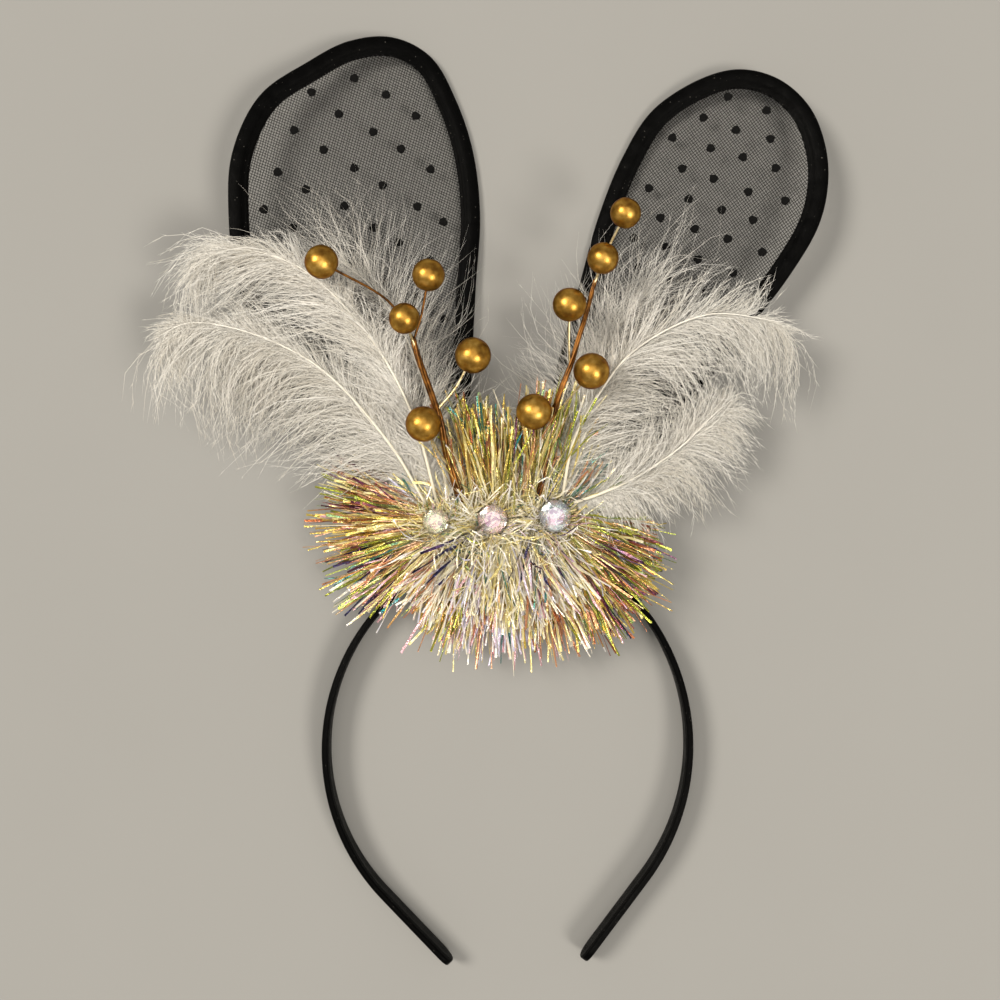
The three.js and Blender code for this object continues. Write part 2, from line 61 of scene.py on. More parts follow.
# The band: a crown arc that each arm carries on with a wider arc and a straight end, with angles in
# degrees about +Z. Its stations crowd towards the tips
BAND = Row(
    width=11.0, thickness=2.6, crown_radius=60.0, corners=32, squareness=4.5, steps=240, arc_steps=240,
    tip_length=5.0, tip_share=0.35, tip_crowding=0.5,
)
LEFT_ARM = Row(radius=74.0, joint=128.0, bend=224.0, straight=33.3)
RIGHT_ARM = Row(radius=78.0, joint=32.0, bend=-37.0, straight=35.9)
# Overlapped edge of the satin on the band's inner face, near its upper edge
BAND_LAP = Row(level=3.5, width=0.35, height=0.16)
# Waves of noise to the millimetre in the satin's threads, along a piece and around it
STREAKS = Row(along=0.6, around=9.0)

# The ears: a bound rim whose legs stand on the crown, with a net panel inside it
RIM = Row(
    width=7.0, thickness=2.8, corners=28, squareness=2.5, steps=300,
    leg_share=0.42, leg_length=34.0, foot_out=1.9,
)
# The binding's stitched flange lies along the inner edge, behind a groove
FLANGE = Row(groove=-0.42, groove_width=0.1, groove_depth=0.5, height=0.55, blend=0.1)
PUCKER = Row(height=0.05, spacing=7.0, octaves=(1.0, 0.53, 0.27))
# One family of threads lies half a thread below the net's surface, and the other half a thread above
NET = Row(
    tuck=1.6, start=0.04, edge_steps=160, billow=2.5, rise=12.0,
    pitch=0.92, thread=0.23, layers=(-0.5, 0.5), stations=18, wobble=0.1, wave=9.0,
)
# A dot's rings from its underside to its top, and the waves that make its edge uneven
DOT = Row(radius=1.55, height=0.42, corners=16, jitter=0.6, lattice_reach=16)
DOT_RINGS = [
    Row(out=0.92, level=-0.35),
    Row(out=1.0, level=0.1),
    Row(out=0.9, level=0.55),
    Row(out=0.6, level=0.9),
    Row(out=0.2, level=1.0),
]
DOT_WAVES = [Row(number=3, height=0.07), Row(number=5, height=0.05)]
# Each ear: the angles of its legs on the crown, a point and the X and Y slopes of its plane, its rim's
# middle line in plan, the directions of its threads, and the lattice of its dots
EARS = [
    Row(
        side="left", legs=(112.0, 107.0), base=(-20.5, 0.0, 6.45), slope=(-0.17, -0.029),
        outline=[
            (-41, 17), (-63, 40), (-82, 67), (-92, 95), (-94.5, 117), (-93.5, 136.2), (-85, 155.5),
            (-69.6, 167.5), (-56.4, 175.3), (-42.5, 177.5), (-31, 172.2), (-22.8, 158.2), (-17, 140.8),
            (-14.5, 119), (-16, 93), (-18, 50), (-18.5, 20),
        ],
        threads=(76.0, -22.0),
        dots=Row(origin=(-28.7, 134.3), row=(10.4, -6.0), column=(-5.2, -13.5)),
    ),
    Row(
        side="right", legs=(77.3, 72.4), base=(16.0, 0.0, 5.9), slope=(0.18, -0.064),
        outline=[
            (13.5, 20), (15.5, 40), (20, 65), (27.5, 92), (34.5, 117), (43, 138), (53, 153.5),
            (69.5, 163.5), (81, 165.5), (92.5, 161.5), (101.5, 152), (106, 139), (106.5, 126.5),
            (103.5, 113.5), (94, 97), (78, 76), (59, 52), (38, 27),
        ],
        threads=(37.0, 122.0),
        dots=Row(origin=(77.3, 158.4), row=(11.7, -4.5), column=(-9.7, -6.6)),
    ),
]

# The feathers: quills that level off at their own height. Barbs drift together along a quill and gather
# into wisps. Turns and bends are in degrees, and a barb's length and rise are shares of its reach. A bias
# is a power on a random share: above 1 it favours the start of a range
QUILL = Row(root_z=18.2, stations=90, corners=8)
VANE = Row(start=0.01, end=0.98)
DRIFT = Row(knots=18, sway=9.0, curl=21.0, rise=0.11, stretch=0.15, tone=0.2)
WISP = Row(count=38, gather=(0.35, 0.95))
BARB = Row(
    stations=6, depth=0.06, width=(0.1, 0.32), width_bias=1.4, length=(0.35, 1.05), length_bias=0.8,
    stray_share=0.09, stray_length=1.2, root_zone=0.3, root_share=0.55, root_turn=16.0, blunt_tip=0.02,
    bend=16.0, wander=9.0, float=0.1, rise=0.09, droop=0.12, bulge=4.0, tone=0.5, tone_jitter=0.2,
)
FUZZ = Row(
    length=(1.2, 5.5), length_bias=1.6, place_bias=1.3, end=0.97, splay=(0.85, 0.3), radius=0.085,
    reference_tilt=0.01,
)
FLOOR_GAP = 0.4
# Each side has its barbs' reach near the quill's root, half way and near its tip, and the angles from
# the quill at which the barbs leave it and end, near the root and near the tip
MAIN_PLUME = Row(width=1.0, shaft=(0.56, 0.13), shaft_lift=1.0)
BACK_PLUME = Row(shaft=(0.5, 0.1), shaft_lift=0.0, loose=30.0)
FEATHERS = [
    Row(MAIN_PLUME, name="left_upper", level=27.6, barbs=2000, fuzz=11, crowding=1.1, loose=9.0,
        left_share=0.64,
        quill=[(-25.5, 16), (-34, 47), (-49.5, 74), (-73, 96), (-96, 101), (-107, 95)],
        left=Row(reach=(32, 42, 27), root=(10, 42), tip=(14, 78)),
        right=Row(reach=(24, 21, 11), root=(18, 50), tip=(8, -4))),
    Row(MAIN_PLUME, name="left_lower", level=23.4, barbs=1950, fuzz=12, crowding=1.1, loose=9.0,
        left_share=0.66,
        quill=[(-29.5, 15.5), (-41.5, 36), (-65.5, 62), (-90, 74), (-110, 77), (-119, 73)],
        left=Row(reach=(36, 44, 27), root=(28, 80), tip=(18, 104)),
        right=Row(reach=(30, 32, 8), root=(14, 46), tip=(6, -4))),
    Row(BACK_PLUME, name="left_back", level=20.0, barbs=1100, fuzz=3, crowding=1.5, width=0.5,
        left_share=0.45,
        quill=[(-21.5, 16), (-25.5, 37), (-30, 56), (-38, 76), (-49, 91), (-60, 100)],
        left=Row(reach=(22, 28, 32), root=(16, 44), tip=(12, 28)),
        right=Row(reach=(30, 37, 36), root=(30, 60), tip=(16, 28))),
    Row(MAIN_PLUME, name="right_upper", level=25.6, barbs=1500, fuzz=12, crowding=1.3, loose=10.0,
        left_share=0.34,
        quill=[(17.5, 18.4), (21, 37), (29, 52), (41, 67), (66, 79.5), (92, 77)],
        left=Row(reach=(22, 28, 14), root=(18, 50), tip=(8, 14)),
        right=Row(reach=(32, 40, 33), root=(24, 80), tip=(26, 88))),
    Row(MAIN_PLUME, name="right_lower", level=21.8, barbs=1300, fuzz=12, crowding=1.1, loose=12.0,
        left_share=0.5,
        quill=[(21.5, 16), (30, 19), (42, 24.5), (57, 34.5), (67.5, 44.5), (73, 49.5)],
        left=Row(reach=(26, 28, 8), root=(20, 64), tip=(6, 4)),
        right=Row(reach=(25, 25, 17), root=(32, 76), tip=(16, 100))),
    Row(BACK_PLUME, name="right_back", level=18.6, barbs=1550, fuzz=4, crowding=2.1, width=0.6,
        left_share=0.64,
        quill=[(13.8, 18.4), (20, 34), (25.5, 51), (31, 66), (39, 80), (49, 90)],
        left=Row(reach=(30, 33, 32), root=(30, 78), tip=(16, 30)),
        right=Row(reach=(24, 35, 36), root=(20, 40), tip=(12, 22))),
]

# The sprigs: a stem of twisted wires with thinner wires that each end in a pearl. Wires of the pearls
# numbered under copper look like the stem, and the others are paler
STEM = Row(strands=3, pitch=56.0, stations=120, corners=10, strand_share=0.56)
WIRE = Row(radius=0.42, stations=24, corners=8, sink_share=0.5)
PEARL = Row(bands=26, corners=40, hole_angle=0.02, dimple=0.07, dimple_width=0.17)
SPRIGS = [
    Row(
        side="left", radii=(1.5, 1.1), copper=(1, 2),
        stem=[(-17.2, 16.5, 18.9), (-20.7, 27, 23), (-25, 47, 30.5), (-30.5, 62, 32), (-33, 71, 32)],
        pearls=[
            Row(at=(-63, 95.6, 36), radius=5.6, wire=[(-33, 71, 32), (-41, 83, 32.4)]),
            Row(at=(-27.6, 91.3, 36), radius=5.4, wire=[(-32.8, 70, 32), (-30, 79, 33)]),
            Row(at=(-35.4, 76.6, 38.4), radius=5.1, wire=[(-32, 67, 32), (-33.2, 70.5, 33.4)]),
            Row(at=(-12.9, 64.8, 35), radius=6.0, wire=[(-25, 47, 30.5), (-19, 54, 32)]),
            Row(at=(-29.3, 42, 36.5), radius=5.9, wire=[(-20.8, 28, 23.4), (-24, 32, 27.5)]),
        ],
    ),
    Row(
        side="right", radii=(1.3, 0.8), copper=(),
        stem=[(9.2, 18.5, 18.7), (12.6, 34, 23.5), (15, 49, 29), (20.4, 64.5, 31.6), (28, 90.5, 32)],
        pearls=[
            Row(at=(37.7, 112, 35), radius=5.1, wire=[(28, 90, 32), (31.5, 99.5, 30)]),
            Row(at=(30, 96.6, 37.2), radius=5.2, wire=[(27.4, 88.5, 32), (28.4, 91.5, 33)]),
            Row(at=(19, 81.4, 36.6), radius=5.6, wire=[(19.4, 61.5, 31.2), (19, 70, 33)]),
            Row(at=(26.3, 59.5, 36), radius=6.0, wire=[(14.4, 45, 27.5), (18.6, 50, 29.5)]),
            Row(at=(7.4, 46.3, 33), radius=6.0, wire=[(12.6, 34, 23.5), (10.5, 38.5, 26.5)]),
        ],
    ),
]

# The tinsel: a low pad, and tufts of film strips on it that lie in sheaves
PAD = Row(x=(-33.0, 25.0), y=(-1.0, 18.0), z=(11.3, 15.2), corners=40, rings=8, squareness=3.0, peak=0.05)
STRIP = Row(
    stations=6, width_bias=1.5, thickness=0.06, shortest=0.55, fan=6.5, crinkle=0.18, twist=0.7,
    flutter=0.8, kinked=0.14, kink=0.4, knee=(0.35, 0.8), main_tone=0.48, tone_jitter=0.012,
    tone_drift=0.26,
)
SHEAF = Row(reach=(0.7, 1.05), root=1.6, place=0.05, level=0.16)
# Tones of the film in the order of its ramp: pale ones let more light through and are less metallic
TONES = Row(
    navy=Row(colour=(0.02, 0.02, 0.08), metallic=0.8),
    plum=Row(colour=(0.16, 0.04, 0.1), metallic=0.8),
    copper=Row(colour=(0.46, 0.15, 0.05), metallic=0.8),
    salmon=Row(colour=(0.86, 0.44, 0.27), metallic=0.7),
    gold=Row(colour=(0.82, 0.64, 0.13), metallic=0.75),
    pale_gold=Row(colour=(0.95, 0.84, 0.4), metallic=0.45),
    cream=Row(colour=(1.0, 0.96, 0.84), metallic=0.3),
    lavender=Row(colour=(0.7, 0.72, 0.95), metallic=0.4),
    pink=Row(colour=(0.92, 0.5, 0.56), metallic=0.65),
    teal=Row(colour=(0.01, 0.27, 0.3), metallic=0.8),
    olive=Row(colour=(0.44, 0.47, 0.06), metallic=0.8),
)
# Each tuft: how many strips and sheaves it has, the ends of its row of roots, the strips' angles and reach
# at both ends, the spread of its sheaves, the heights of roots and tips, the strips' width and bow, and
# how often each tone comes up
TUFT = Row(width=(0.3, 0.9), bow=1.6, root=(14, 18))
LEFT_SIDE = Row(TUFT, sheaves=22, spread=3.5, root=(13, 17), width=(0.35, 1.1))
BELOW = Row(
    TUFT, count=200, sheaves=11, spread=4, reach=(44, 44), root=(13, 17), tip=(8, 22), width=(0.4, 1.15),
)
RIGHT_SIDE = Row(TUFT, count=260, sheaves=20, spread=4, width=(0.35, 1.1))
SPRAY = Row(TUFT, sheaves=14, spread=10)
TUFTS = [
    Row(LEFT_SIDE, count=280, row=((-27, 14), (-26, 9)), angles=(148, 184), reach=(41, 44), tip=(10, 25),
        tones=Row(gold=34, pale_gold=32, salmon=22, olive=20, copper=8, pink=6, cream=4, plum=4)),
    Row(LEFT_SIDE, count=270, row=((-26, 9), (-24, 3)), angles=(184, 226), reach=(44, 47), tip=(8, 22),
        tones=Row(olive=44, pale_gold=22, gold=20, salmon=12, navy=12, plum=9, cream=4, pink=5, teal=5)),
    Row(BELOW, row=((-17, 3), (-8, 3)), angles=(243, 262),
        tones=Row(pale_gold=30, salmon=26, olive=18, gold=14, cream=12, pink=10, plum=4)),
    Row(BELOW, row=((-8, 3), (2, 3)), angles=(262, 283),
        tones=Row(cream=36, pale_gold=22, lavender=14, pink=12, salmon=12, teal=5)),
    Row(BELOW, row=((2, 3), (11, 3)), angles=(283, 299),
        tones=Row(salmon=30, cream=18, pale_gold=20, gold=10, copper=10, pink=9, olive=7)),
    Row(RIGHT_SIDE, row=((16, 3), (17.5, 7)), angles=(298, 326), reach=(44, 42), tip=(9, 25),
        tones=Row(olive=42, gold=24, salmon=13, copper=11, pale_gold=11, plum=7, pink=5, navy=8)),
    Row(RIGHT_SIDE, row=((17.5, 7), (18, 12)), angles=(326, 351), reach=(42, 34), tip=(10, 27),
        tones=Row(olive=52, gold=24, salmon=9, pale_gold=12, copper=7, navy=9, plum=5, teal=6)),
    Row(TUFT, count=480, sheaves=34, row=((12, 15), (-15, 15)), angles=(71, 108), spread=5,
        reach=(42, 42), tip=(19, 33), bow=2.4,
        tones=Row(olive=26, gold=26, pale_gold=40, cream=8, copper=8, salmon=6, teal=5, plum=2)),
    Row(SPRAY, count=70, row=((20, 11), (14, 15)), angles=(14, 62), reach=(24, 29), tip=(15, 26),
        tones=Row(cream=34, pale_gold=22, lavender=10, teal=24, salmon=6, olive=8)),
    Row(SPRAY, count=60, row=((-18, 15), (-28, 13)), angles=(108, 146), reach=(20, 25), root=(14, 17),
        tip=(14, 22),
        tones=Row(cream=38, pale_gold=34, lavender=6, teal=14, salmon=4, olive=6)),
    Row(TUFT, count=760, sheaves=90, row=((-20, 5), (13, 5)), angles=(242, 302), spread=15,
        reach=(34, 33), root=(15, 18), tip=(18, 31), bow=3.2,
        tones=Row(cream=66, pale_gold=28, gold=3, salmon=9, lavender=8, pink=5, olive=2, teal=3, navy=1)),
    Row(TUFT, count=900, sheaves=110, row=((-27, 7), (20, 8)), angles=(0, 4 * 360), spread=40,
        reach=(18, 18), tip=(17, 29), width=(0.2, 0.6), bow=4.5,
        tones=Row(cream=60, pale_gold=32, lavender=8, pink=2, teal=4, navy=2, olive=3)),
    Row(TUFT, count=12, sheaves=12, row=((-9, 10), (18, 11)), angles=(210, 262), spread=16,
        reach=(34, 38), root=(19, 21), tip=(24, 29), width=(0.8, 1.2),
        tones=Row(teal=50, navy=34, lavender=16)),
]

# The gems: tiers of a round brilliant with a flat foiled back, radius and level as parts of its size.
# Strips that run under a gem keep clear of it, and may rise again at a slope beside it
GEM = Row(base_z=17.3, height_share=0.95, foil_level=0.3, clearance=0.3, strip_slope=3)
GEM_TIERS = [
    Row(sides=8, turn=0.0, radius=0.56, level=1.0),
    Row(sides=8, turn=0.5, radius=0.84, level=0.74),
    Row(sides=16, turn=0.0, radius=1.0, level=0.46),
    Row(sides=16, turn=0.0, radius=1.0, level=0.38),
    Row(sides=8, turn=0.0, radius=0.72, level=0.0),
]
GEMS = [
    Row(name="left", x=-26.0, y=9.6, radius=4.6, tint=0.0),
    Row(name="center", x=-6.5, y=10.2, radius=5.2, tint=0.5),
    Row(name="right", x=15.0, y=11.4, radius=5.6, tint=1.0),
]
# Straw, blush and ice
GEM_TINTS = [(0.0, (0.97, 0.96, 0.84)), (0.5, (1.0, 0.93, 0.94)), (1.0, (0.91, 0.95, 1.0))]

# Soft studio light: wide, distant lamps, where each stands as seen from the object, its angle across
# in degrees and its strength
LIGHTS = [
    Row(name="key", at=(-0.62, 0.22, 0.78), across=20.0, strength=2.3),
    Row(name="second", at=(0.5, -0.44, 0.8), across=20.0, strength=1.65),
    Row(name="overhead", at=(0.0, 0.1, 1.3), across=54.0, strength=0.85),
]
LAMP_TINT = (1.0, 0.935, 0.83)
WORLD = Row(Strength=0.3, Color=(1.0, 0.955, 0.885, 1.0))
FLOOR_SIDE = 40.0


def lerp(a, b, share):
    return a + (b - a) * share


def shares(count):
    """Even steps from 0 to 1."""
    return np.linspace(0, 1, count)


def smoothstep(value, low, high):
    share = np.clip((value - low) / (high - low), 0, 1)
    return share * share * (3 - 2 * share)


def hump(value, center, width):
    """Bell curve with a top of 1."""
    return np.exp(-(((value - center) / width) ** 2))


def unit(vectors):
    return vectors / np.linalg.norm(vectors, axis=-1, keepdims=True)


def sides(tangent, reference=UP):
    """Directions across a line and over it."""
    across = unit(np.cross(reference, tangent))
    return across, np.cross(tangent, across)


def circle(corners):
    angles = np.arange(corners) * TURN / corners
    return np.stack([np.cos(angles), np.sin(angles)], axis=-1)


def squared_circle(corners, squareness):
    """Corners of a superellipse with half sides of 1."""
    plain = circle(corners)
    return np.sign(plain) * np.abs(plain) ** (2 / squareness)


def running_length(line):
    """Distance along a line at each of its points."""
    steps = np.linalg.norm(np.diff(line, axis=0), axis=1)
    return np.concatenate([[0.0], np.cumsum(steps)])


class Path:
    """A line through space that is read by the share of its length."""

    PROBE = 0.002

    def __init__(self, line):
        self.line = np.asarray(line, float)
        self.ticks = running_length(self.line)
        self.length = self.ticks[-1]

    def at(self, share):
        place = np.asarray(share) * self.length
        return np.stack([np.interp(place, self.ticks, axis) for axis in self.line.T], axis=-1)

    def heading(self, share):
        share = np.asarray(share)
        ahead = self.at(np.minimum(share + self.PROBE, 1))
        behind = self.at(np.maximum(share - self.PROBE, 0))
        return unit(ahead - behind)


def smooth_path(points, per_span=60):
    """Centripetal Catmull-Rom curve through points."""
    given = np.asarray(points, float)
    knots = np.vstack([2 * given[0] - given[1], given, 2 * given[-1] - given[-2]])
    share = np.linspace(0, 1, per_span, endpoint=False)[:, None]
    line = []
    for p0, p1, p2, p3 in zip(knots, knots[1:], knots[2:], knots[3:]):
        d0, d1, d2 = (math.sqrt(np.linalg.norm(b - a)) for a, b in ((p0, p1), (p1, p2), (p2, p3)))
        leave = ((p1 - p0) / d0 - (p2 - p0) / (d0 + d1) + (p2 - p1) / d1) * d1
        arrive = ((p2 - p1) / d1 - (p3 - p1) / (d1 + d2) + (p3 - p2) / d2) * d1
        square = -3 * p1 + 3 * p2 - 2 * leave - arrive
        cube = 2 * p1 - 2 * p2 + leave + arrive
        line.append(p1 + leave * share + square * share**2 + cube * share**3)
    return Path(np.vstack([*line, given[-1:]]))


def sweep(paths, section, wide, deep, reference=UP):
    """Rings of corners along strands: paths[strand, station], section[corner] of (across, over)."""
    across, over = sides(unit(np.gradient(paths, axis=1)), reference)
    wide = np.broadcast_to(wide, paths.shape[:2])[..., None, None]
    deep = np.broadcast_to(deep, paths.shape[:2])[..., None, None]
    section = np.broadcast_to(section, (*paths.shape[:2], *section.shape[-2:]))
    sideways = section[..., :1] * wide * across[:, :, None]
    upwards = section[..., 1:] * deep * over[:, :, None]
    return paths[:, :, None] + sideways + upwards


class Shape:
    """Closed skins gathered into one mesh, each with its finish and its values at every corner."""

    def __init__(self):
        self.points, self.faces, self.finishes = [], [], []
        self.values = {}
        self.count = 0

    def add(self, rings, finish=0, **values):
        """Tubes: rings[strand, station, corner], closed at both ends."""
        strands, stations, corners, _ = rings.shape
        index = np.arange(strands * stations * corners).reshape(strands, stations, corners)
        turned = np.roll(index, -1, axis=2)
        a, b, c, d = index[:, :-1], turned[:, :-1], turned[:, 1:], index[:, 1:]
        faces = [np.stack([a, b, c], -1), np.stack([a, c, d], -1)]
        for k in range(1, corners - 1):
            faces.append(np.stack([index[:, 0, 0], index[:, 0, k + 1], index[:, 0, k]], -1))
            faces.append(np.stack([index[:, -1, 0], index[:, -1, k], index[:, -1, k + 1]], -1))
        self.gather(rings, np.vstack([face.reshape(-1, 3) for face in faces]), finish, values)

    def add_spikes(self, root, tip, radius, **values):
        """Three sided spikes, each from a small base to a point."""
        # A tilted reference is never in line with an upright hair
        across, over = sides(unit(tip - root), UP + (FUZZ.reference_tilt, 0, 0))
        base = [root + radius * (x * across + y * over) for x, y in circle(3)]
        corners = np.stack([*base, tip], axis=1)
        one = np.array([(0, 2, 1), (0, 1, 3), (1, 2, 3), (2, 0, 3)])
        faces = (np.arange(len(root))[:, None, None] * 4 + one).reshape(-1, 3)
        self.gather(corners, faces, 0, values)

    def gather(self, points, faces, finish, values):
        self.points.append(points.reshape(-1, 3))
        self.faces.append(faces + self.count)
        self.finishes.append(np.full(len(faces), finish))
        for name, value in values.items():
            full = np.broadcast_to(value, points.shape[:-1]).ravel()
            self.values.setdefault(name, []).append(full)
        self.count += len(self.points[-1])

    def mesh(self, name, smooth):
        points, faces = np.vstack(self.points) * MM, np.vstack(self.faces)
        mesh = bpy.data.meshes.new(name)
        mesh.from_pydata(points.tolist(), [], faces.tolist(), shade_flat=not smooth)
        mesh.polygons.foreach_set("material_index", np.concatenate(self.finishes).astype(np.int32))
        for key, parts in self.values.items():
            add_values(mesh, key, np.concatenate(parts).astype(np.float32))
        return mesh

    def place(self, name, materials, slot, *nodes, smooth=True):
        return place_piece(name, self.mesh(name, smooth), materials, slot, *nodes)


def add_values(mesh, name, values):
    attribute = mesh.attributes.new(name, "FLOAT", "POINT")
    attribute.data.foreach_set("value", values)


def show(name, data):
    """Puts a new object in the scene."""
    made = bpy.data.objects.new(name, data)
    bpy.context.scene.collection.objects.link(made)
    return made


def place_piece(name, mesh, materials, slot, *nodes):
    """Puts a finished piece in the scene in place of CAD nodes."""
    for material in materials:
        mesh.materials.append(material)
    piece = show(name, mesh)
    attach(piece, BODY)
    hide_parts(*nodes)
    return piece


class Finish:
    """A material whose shader is fed by texture nodes."""

    def __init__(self, name, **constants):
        self.material = bpy.data.materials.new(name)
        self.material.use_nodes = True
        self.tree = self.material.node_tree
        self.shader = self.tree.nodes["Principled BSDF"]
        self.fill(self.shader, constants)

    @staticmethod
    def fill(node, values):
        """Sets sockets named by words that are joined with _."""
        for key, value in values.items():
            node.inputs[key.replace("_", " ")].default_value = value

    def node(self, kind, **values):
        made = self.tree.nodes.new("ShaderNode" + kind)
        self.fill(made, values)
        return made

    def link(self, output, node, socket):
        self.tree.links.new(output, node.inputs[socket])

    def plug(self, node, operands):
        """Sets each socket to a number or a colour, or links another node's output to it."""
        for socket, operand in operands.items():
            if isinstance(operand, tuple):
                operand = (*operand, 1.0)
            if isinstance(operand, (int, float, tuple)):
                node.inputs[socket].default_value = operand
            else:
                self.link(operand, node, socket)

    def feed(self, output, socket):
        self.link(output, self.shader, socket)

    def colour(self, output, stops):
        self.feed(self.ramp(output, stops), "Base Color")

    def roughness(self, output, stops):
        self.feed(self.ramp(output, stops), "Roughness")

    def value(self, name):
        """A value that the mesh holds at its corners."""
        made = self.node("Attribute")
        made.attribute_name = name
        return made.outputs["Fac"]

    def noise(self, scale, detail=3.0, vector=None):
        """Noise in the piece's own coordinates, or along another vector."""
        made = self.node("TexNoise", Scale=scale, Detail=detail)
        self.link(vector or self.node("TexCoord").outputs["Object"], made, "Vector")
        return made.outputs["Fac"]

    def ramp(self, output, stops):
        """Colours by place: stops of (place, grey or colour)."""
        made = self.node("ValToRGB")
        band = made.color_ramp.elements
        while len(band) < len(stops):
            band.new(0.5)
        for element, (at, colour) in zip(band, stops):
            element.position = at
            shade = colour if isinstance(colour, tuple) else (colour,) * 3
            element.color = (*shade, 1.0)
        self.link(output, made, "Fac")
        return made.outputs["Color"]

    def math(self, kind, first, second):
        made = self.node("Math")
        made.operation = kind
        self.plug(made, {0: first, 1: second})
        return made.outputs[0]

    def blend(self, share, first, second, kind="MIX"):
        made = self.node("MixRGB")
        made.blend_type = kind
        self.plug(made, {"Fac": share, "Color1": first, "Color2": second})
        return made.outputs["Color"]

    def darken(self, body, shade):
        """Colour of body, multiplied by shade."""
        self.feed(self.blend(1.0, body, shade, "MULTIPLY"), "Base Color")

    def bump(self, height, distance, strength=1.0):
        made = self.node("Bump", Distance=distance, Strength=strength)
        self.link(height, made, "Height")
        self.feed(made.outputs["Normal"], "Normal")


def satin():
    """Black satin with thread streaks along it, faint creases and a few specks of lint."""
    finish = Finish("black_satin", Specular_IOR_Level=0.03)
    streaks = finish.node("CombineXYZ")
    for axis, (name, scale) in zip("XY", STREAKS.items()):
        finish.link(finish.math("MULTIPLY", finish.value(name), scale), streaks, axis)
    threads = finish.noise(1.0, detail=2.0, vector=streaks.outputs["Vector"])
    creases = finish.noise(140.0)
    lint = finish.ramp(finish.noise(1900.0, detail=0.0), [(0.83, 0.0), (0.85, 1.0)])
    cloth = finish.ramp(threads, [(0.3, 0.0004), (0.7, 0.0022)])
    finish.feed(finish.blend(lint, cloth, (0.1, 0.095, 0.085)), "Base Color")
    finish.roughness(creases, [(0.3, 0.28), (0.7, 0.44)])
    finish.bump(finish.blend(0.3, creases, threads), distance=0.0006, strength=0.5)
    return finish.material


def tulle():
    """Fine black nylon thread."""
    finish = Finish("black_tulle", Specular_IOR_Level=0.2)
    finish.colour(finish.noise(900.0), [(0.3, 0.004), (0.75, 0.018)])
    finish.roughness(finish.noise(300.0), [(0.3, 0.5), (0.7, 0.75)])
    return finish.material


def flock():
    """Velvety black pile."""
    finish = Finish("black_flock", Roughness=0.95, Specular_IOR_Level=0.1, Sheen_Weight=0.04)
    pile = finish.noise(5200.0, detail=2.0)
    finish.colour(pile, [(0.3, 0.002), (0.8, 0.008)])
    finish.bump(pile, distance=0.0002)
    return finish.material


def down():
    """White barbs, each with its own tone."""
    finish = Finish("white_down", Roughness=0.6, Sheen_Weight=0.25, Specular_IOR_Level=0.25)
    tones = [(0.0, (0.78, 0.74, 0.665)), (0.4, (0.92, 0.895, 0.84)), (1.0, (0.98, 0.965, 0.93))]
    mottle = finish.ramp(finish.noise(160.0), [(0.3, 0.92), (0.65, 1.0)])
    finish.darken(finish.ramp(finish.value("tone"), tones), mottle)
    return finish.material


def quill():
    """Horn coloured shaft, paler towards its tip."""
    finish = Finish("cream_quill", Roughness=0.38, Specular_IOR_Level=0.5)
    tones = [(0.0, (0.86, 0.8, 0.64)), (0.5, (0.95, 0.92, 0.82)), (1.0, (0.97, 0.95, 0.9))]
    mottle = finish.ramp(finish.noise(700.0), [(0.3, 0.85), (0.7, 1.0)])
    finish.darken(finish.ramp(finish.value("along"), tones), mottle)
    return finish.material


def metal(name, dark, pale, metallic, rough):
    """Drawn wire with lacquer that wears paler in places."""
    finish = Finish(name, Metallic=metallic, Coat_Weight=0.1, Coat_Roughness=0.2)
    wear = finish.noise(420.0, detail=4.0)
    finish.colour(wear, [(0.35, dark), (0.68, pale)])
    finish.roughness(wear, [(0.3, rough[0]), (0.7, rough[1])])
    finish.bump(finish.noise(900.0, detail=2.0), distance=0.00005, strength=0.4)
    return finish.material


def pearl():
    """Antique gold pearl lacquer with fine mottling, and a dark edge tint that paints shade at its rim."""
    # Specular_Tint is a dark edge tint: painted shade standing in for dark surroundings reflected at the
    # pearl's rim
    finish = Finish("gold_pearl", Metallic=0.92, Specular_Tint=(0.2, 0.11, 0.045, 1.0), Coat_Weight=0.15,
                    Coat_Roughness=0.2)
    mottle = finish.noise(330.0, detail=5.0)
    golds = [(0.3, (0.25, 0.115, 0.016)), (0.52, (0.46, 0.25, 0.042)), (0.75, (0.72, 0.45, 0.11))]
    finish.colour(mottle, golds)
    finish.roughness(mottle, [(0.3, 0.3), (0.7, 0.42)])
    finish.bump(finish.noise(1300.0, detail=2.0), distance=0.00008, strength=0.4)
    return finish.material


def film():
    """Iridescent film: strips have their own tones, which drift along them, and a painted glow at their
    roots.
    """
    finish = Finish("iridescent_film", Roughness=0.24, Coat_Weight=0.3, Coat_Roughness=0.08,
                    Thin_Film_Thickness=430.0, Thin_Film_IOR=1.45)
    steps = shares(len(TONES))
    colours = [(step, tone.colour) for step, tone in zip(steps, TONES.values())]
    metallic = [(step, tone.metallic) for step, tone in zip(steps, TONES.values())]
    swing = finish.math("SUBTRACT", finish.noise(210.0, detail=2.0), 0.5)
    drift = finish.math("MULTIPLY", swing, STRIP.tone_drift)
    place_on_ramp = finish.math("ADD", finish.value("tone"), drift)
    # Painted glow: towards its root each strip is blended to a pale yellow, a painted light for the
    # burst's bright middle
    depth = finish.ramp(finish.value("along"), [(0.05, 0.35), (0.6, 1.0)])
    painted_root_glow = (0.97, 0.9, 0.6)
    finish.feed(finish.blend(depth, painted_root_glow, finish.ramp(place_on_ramp, colours)), "Base Color")
    finish.feed(finish.ramp(place_on_ramp, metallic), "Metallic")
    finish.bump(finish.noise(1500.0, detail=1.5), distance=0.0005, strength=0.68)
    return finish.material


def felt():
    """Pale pad that the tinsel is tied on."""
    finish = Finish("pale_pad", Roughness=0.9)
    fibres = finish.noise(1400.0, detail=4.0)
    finish.colour(fibres, [(0.3, (0.4, 0.36, 0.24)), (0.7, (0.66, 0.6, 0.42))])
    finish.bump(fibres, distance=0.0003)
    return finish.material


